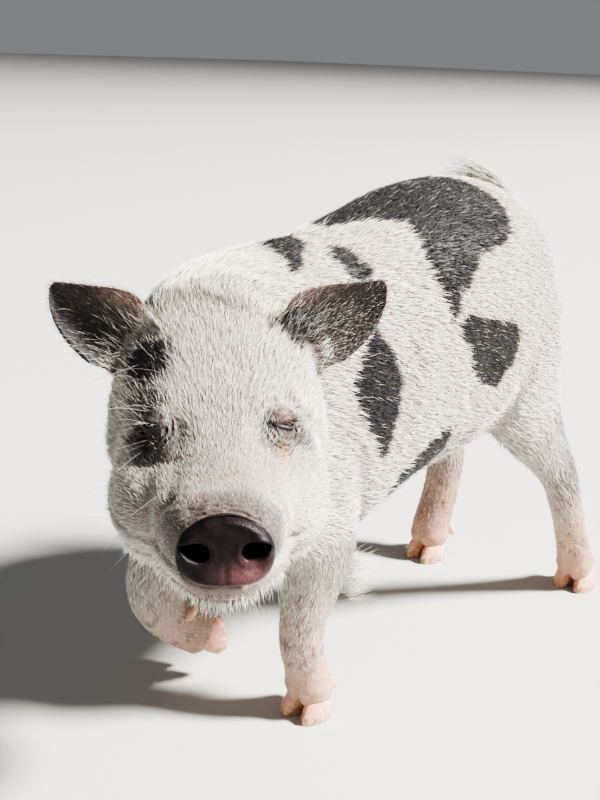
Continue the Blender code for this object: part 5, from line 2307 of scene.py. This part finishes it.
class LongHair:
    """Tail switch, elbow tufts, whiskers, lashes and the fringes of the ears."""

    STEPS = 6
    SWITCH_HAIRS = 820
    ELBOW_HAIRS = 260
    LASHES = 28
    FRINGE_HAIRS = 190
    # Number a side, middle, reach and length in metres, direction, in the skull frame.
    WHISKERS = (
        (16, (0.05, 0.01, -0.03), 0.026, 0.034, (0.9, 0.0, -0.25)),  # cheek
        (14, (0.033, 0.055, -0.036), 0.018, 0.028, (0.8, 0.2, -0.6)),  # muzzle
        (7, (0.042, -0.004, 0.01), 0.009, 0.034, (0.9, 0.1, 0.35)),  # brow
        (12, (0.046, -0.036, 0.022), 0.016, 0.03, (0.9, 0.2, 0.1)),  # temple
        (26, (0.01, 0.06, -0.076), 0.024, 0.016, (0.2, 0.2, -1.0)),  # chin
    )

    def __init__(self, skin: Skin, material: bpy.types.Material) -> None:
        """Keep the skin and the finish."""
        self.skin = skin
        self.material = material
        self.rng = np.random.default_rng(7)

    def curved(
        self, roots: Array, ways: Array, bends: Array, lengths: Array, width: float, waver: float
    ) -> tuple[Array, Array]:
        """Lines that bend steadily, and their half widths.

        Args:
            roots: Root places, N by 3.
            ways: First directions, N by 3.
            bends: What is added to the direction over the length, N by 3.
            lengths: Lengths, N.
            width: Half width at the root.
            waver: Size of the random waver against the length.

        Returns:
            Lines, N by K by 3, and half widths, N by K-1.
        """
        share = np.linspace(0.0, 1.0, self.STEPS)
        run = share[None, :, None] * ways[:, None] + 0.5 * share[None, :, None] ** 2 * bends[:, None]
        shake = self.rng.normal(0.0, waver, (len(roots), 1, 3)) * np.sin(2.6 * share)[None, :, None]
        lines = roots[:, None] + lengths[:, None, None] * (run + shake)
        taper = width * (1.0 - 0.75 * share[:-1])
        widths = self.rng.uniform(0.8, 1.2, (len(roots), 1)) * taper[None]
        return lines, widths

    def nearest(self, roots: Array) -> Array:
        """Chart places of the skin under some roots."""
        step = max(1, len(self.skin.centres) // 20000)
        centres = self.skin.centres[::step]
        charts = self.skin.chart[::step].mean(axis=1)
        index = [int(np.argmin(((centres - root) ** 2).sum(axis=1))) for root in roots]
        return charts[index]

    def piece(self, name: str, lines: Array, widths: Array, pigment: float) -> Item:
        """One piece of long hair.

        Args:
            name: Name of the piece.
            lines: Places along each hair, root first.
            widths: Half widths along each hair.
            pigment: Share of black hairs.

        Returns:
            The piece.
        """
        count = len(lines)
        tints = {
            "pigment": (self.rng.uniform(size=count) < pigment).astype(float),
            "tone": self.rng.beta(2.0, 3.0, count),
        }
        flat = unit(self.rng.normal(size=(count, 3)))
        return Bristles(name, self.material).build(lines, widths, flat, self.nearest(lines[:, 0]), tints)

    def switch(self) -> Item:
        """White switch at the end of the tail."""
        rng = self.rng
        count = self.SWITCH_HAIRS
        path = np.array(finer(TAIL, 4))[:, :3] + np.array(BODY_ORIGIN)
        share = rng.beta(1.5, 1.0, count) * 0.78 + 0.2
        index = np.minimum((share * (len(path) - 1)).astype(int), len(path) - 2)
        along = unit(path[index + 1] - path[index])
        aside = unit(np.cross(along, unit(rng.normal(size=(count, 3)))))
        roots = path[index] + aside * 0.0038
        ways = unit(along + aside * rng.uniform(0.1, 0.42, (count, 1)))
        bends = np.tile((-0.25, -0.1, -0.32), (count, 1)) + rng.normal(0.0, 0.12, (count, 3))
        lengths = rng.uniform(0.01, 0.018, count) + 0.013 * share**2
        lines, widths = self.curved(roots, ways, bends, lengths, 0.0003, 0.03)
        return self.piece("switch", lines, widths, 0.0)

    def elbow(self, name: str, elbow: Row, side: int) -> Item:
        """Tuft that sweeps back from the point of an elbow.

        Args:
            name: Name of the piece.
            elbow: Point of the elbow in the body's frame.
            side: 1 for the left leg, -1 for the right.

        Returns:
            The piece.
        """
        rng = self.rng
        count = self.ELBOW_HAIRS
        centre = np.array(Vector(elbow) + BODY_ORIGIN)
        roots = centre + rng.uniform(-1.0, 1.0, (count, 3)) * np.array((0.008, 0.004, 0.016))
        aside = side * rng.uniform(0.05, 0.5, count)
        fall = rng.uniform(-0.6, -0.05, count)
        ways = np.stack((aside, np.ones(count), fall), axis=1)
        bends = np.tile((side * 0.2, 0.0, 0.75), (count, 1)) + rng.normal(0.0, 0.15, (count, 3))
        lines, widths = self.curved(roots, unit(ways), bends, rng.uniform(0.013, 0.028, count), 0.0002, 0.03)
        return self.piece(name, lines, widths, 0.05)

    def whiskers(self) -> Item:
        """Long fine hairs of muzzle, cheeks, brows and chin."""
        rng = self.rng
        left, forward, up = SKULL_FRAME.axes()
        skull = SKULL_FRAME.read(self.skin.centres)
        head = self.skin.parts == Part.HEAD.value
        roots, ways, lengths = [], [], []
        for count, centre, reach, length, way in self.WHISKERS:
            for side in (1, -1):
                here = np.array(centre) * (side, 1.0, 1.0)
                gap = np.where(head, distance(skull, here), np.inf)
                near = np.nonzero(gap < gap.min() + reach)[0]
                chosen = rng.choice(near, count)
                lean = side * way[0] * left + way[1] * forward + way[2] * up
                roots.append(self.skin.centres[chosen])
                ways.append(unit(lean + rng.normal(0.0, 0.28, (count, 3))))
                lengths.append(rng.uniform(0.6, 1.25, count) * length)
        roots, ways, lengths = np.vstack(roots), np.vstack(ways), np.concatenate(lengths)
        bends = np.tile(-0.45 * up, (len(roots), 1)) - 0.35 * forward + rng.normal(0.0, 0.2, (len(roots), 3))
        lines, widths = self.curved(roots, ways, bends, lengths, 0.00014, 0.03)
        return self.piece("whiskers", lines, widths, 0.0)

    def lashes(self) -> Item:
        """Pale lashes of the upper lids."""
        rng = self.rng
        roots, ways = [], []
        for side in (1, -1):
            frame = np.array(EYE.frame(side))
            for angle in rng.uniform(0.12 * math.pi, 0.88 * math.pi, self.LASHES):
                wide, tall = EYE.opening
                flat = np.array((math.cos(angle) * wide * 1.02, math.sin(angle) * tall * 1.1))
                rise = math.sqrt((EYE.radius + 0.0016) ** 2 - flat @ flat)
                local = np.array((flat[0], flat[1], rise))
                way = np.array((0.55 * math.cos(angle), 0.25, 1.0)) + rng.normal(0.0, 0.12, 3)
                roots.append(frame[:3, :3] @ local + frame[:3, 3])
                ways.append(frame[:3, :3] @ way)
        roots, ways = np.array(roots), unit(np.array(ways))
        up = SKULL_FRAME.axes()[2]
        bends = np.tile(-0.55 * up, (len(roots), 1))
        lines, widths = self.curved(roots, ways, bends, rng.uniform(0.005, 0.009, len(roots)), 0.00009, 0.02)
        return self.piece("lashes", lines, widths, 0.5)

    def ear_fringe(self) -> Item:
        """Fine pale hairs that spill out of the cups of the ears."""
        rng = self.rng
        roots, ways, lengths = [], [], []
        for side in (1, -1):
            root, _ = EAR.axis(side)
            along, across, front = (np.array(way) for way in EAR.frame(side))
            count = self.FRINGE_HAIRS
            share = rng.beta(1.0, 3.2, count) * 0.8 - 0.06
            t = rng.uniform(-0.95, 0.95, count)
            rows = np.array(finer(EAR.stations, 4))
            lower, upper, depth = (np.interp(share, rows[:, 0], rows[:, k]) for k in (1, 2, 3))
            width = np.where(t * side > 0.0, lower, upper)
            cup = depth * (1.0 - t * t)
            place = np.array(root) + share[:, None] * along + (t * width)[:, None] * across
            roots.append(place - front * (cup - 0.0012)[:, None])
            lean = 0.75 * unit(along)[None] + front * 0.55 + across * (0.7 * t)[:, None]
            ways.append(unit(lean + rng.normal(0.0, 0.22, (count, 3))))
            lengths.append(rng.uniform(0.01, 0.026, count) * (1.0 - 0.5 * np.clip(share, 0.0, 1.0)))
        roots, ways, lengths = np.vstack(roots), np.vstack(ways), np.concatenate(lengths)
        bends = rng.normal(0.0, 0.3, (len(roots), 3))
        lines, widths = self.curved(roots, ways, bends, lengths, 0.00014, 0.03)
        return self.piece("ear_fringe", lines, widths, 0.12)

    def build(self) -> None:
        """Make all long hair."""
        self.switch()
        self.elbow("elbow_tuft_left", (0.056, 0.024, 0.108), 1)
        self.elbow("elbow_tuft_right", (-0.06, -0.01, 0.108), -1)
        self.whiskers()
        self.lashes()
        self.ear_fringe()


# Studio


@dataclass(frozen=True)
class Lamp:
    """Disc of light that faces the animal."""

    name: str
    place: Row
    size: float
    power: float
    colour: Row


@dataclass(frozen=True)
class Studio:
    """Camera, floor, lights and the look of the picture."""

    camera: Row = (0.54245, -0.66395, 0.474)
    heading: float = math.radians(43.5)
    pitch: float = math.radians(16.2)
    roll: float = math.radians(2.1)
    lens: float = 72.12
    floor_half: float = 40.0
    sky: Row = (0.93, 0.95, 0.97, 1.0)
    sky_strength: float = 0.22
    look: str = "AgX - High Contrast"
    aim: Row = (0.0, 0.0, 0.2)
    lamps: tuple[Lamp, ...] = (
        Lamp("key", (11.8, 8.4, 13.9), 3.4, 18000.0, (1.0, 0.965, 0.91)),
        Lamp("fill", (-2.2, -4.6, 3.2), 4.0, 16.0, (0.94, 0.97, 1.0)),
    )

    def add_camera(self) -> None:
        """Camera at the height and angle of a person crouching in front."""
        data = bpy.data.cameras.new("camera")
        data.sensor_fit = "HORIZONTAL"
        data.sensor_width = 36.0
        data.lens = self.lens
        data.clip_start = 0.01
        item = new_object("camera", data)
        turn = Matrix.Rotation(self.heading, 4, "Z")
        turn = turn @ Matrix.Rotation(math.radians(90) - self.pitch, 4, "X")
        turn = turn @ Matrix.Rotation(self.roll, 4, "Z")
        item.matrix_world = Matrix.Translation(self.camera) @ turn
        bpy.context.scene.camera = item

    def add_floor(self) -> None:
        """Plain pale floor."""
        clear_selection()
        bpy.ops.mesh.primitive_plane_add(size=2.0 * self.floor_half)
        floor = bpy.context.active_object
        floor.name = "floor"
        floor.data.materials.append(FloorFinish().material())

    def add_lamp(self, lamp: Lamp) -> None:
        """Set one lamp up."""
        data = bpy.data.lights.new(lamp.name, "AREA")
        data.shape = "DISK"
        data.size = lamp.size
        data.energy = lamp.power
        data.color = lamp.colour
        item = new_object(lamp.name, data)
        way = Vector(self.aim) - Vector(lamp.place)
        item.rotation_euler = way.to_track_quat("-Z", "Y").to_euler()
        item.location = lamp.place

    def add_sky(self) -> None:
        """Even pale surroundings."""
        world = bpy.data.worlds.new("studio")
        world.use_nodes = True
        back = world.node_tree.nodes["Background"]
        back.inputs["Color"].default_value = self.sky
        back.inputs["Strength"].default_value = self.sky_strength
        bpy.context.scene.world = world

    def set_look(self) -> None:
        """Deepen the contrast of the picture, as in the photo's hard light."""
        bpy.context.scene.view_settings.look = self.look

    def build(self) -> None:
        """Set up the whole studio."""
        self.add_camera()
        self.add_floor()
        self.add_sky()
        for lamp in self.lamps:
            self.add_lamp(lamp)
        self.set_look()
        LOG.info("studio: camera, floor and two lights")


def main() -> None:
    """Build the model, piece by piece."""
    logging.basicConfig(level=logging.INFO, format="%(name)s: %(message)s")
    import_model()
    clear_selection()
    Studio().build()
    markings = Markings()
    hide = Hide()
    hide.build(markings)
    SnoutDisc().build()
    Eyes().build()
    Claws().build()
    skin = Skin(hide, markings)
    coat = Coat(skin)
    coat.build()
    LongHair(skin, coat.material).build()


if __name__ == "__main__":
    main()
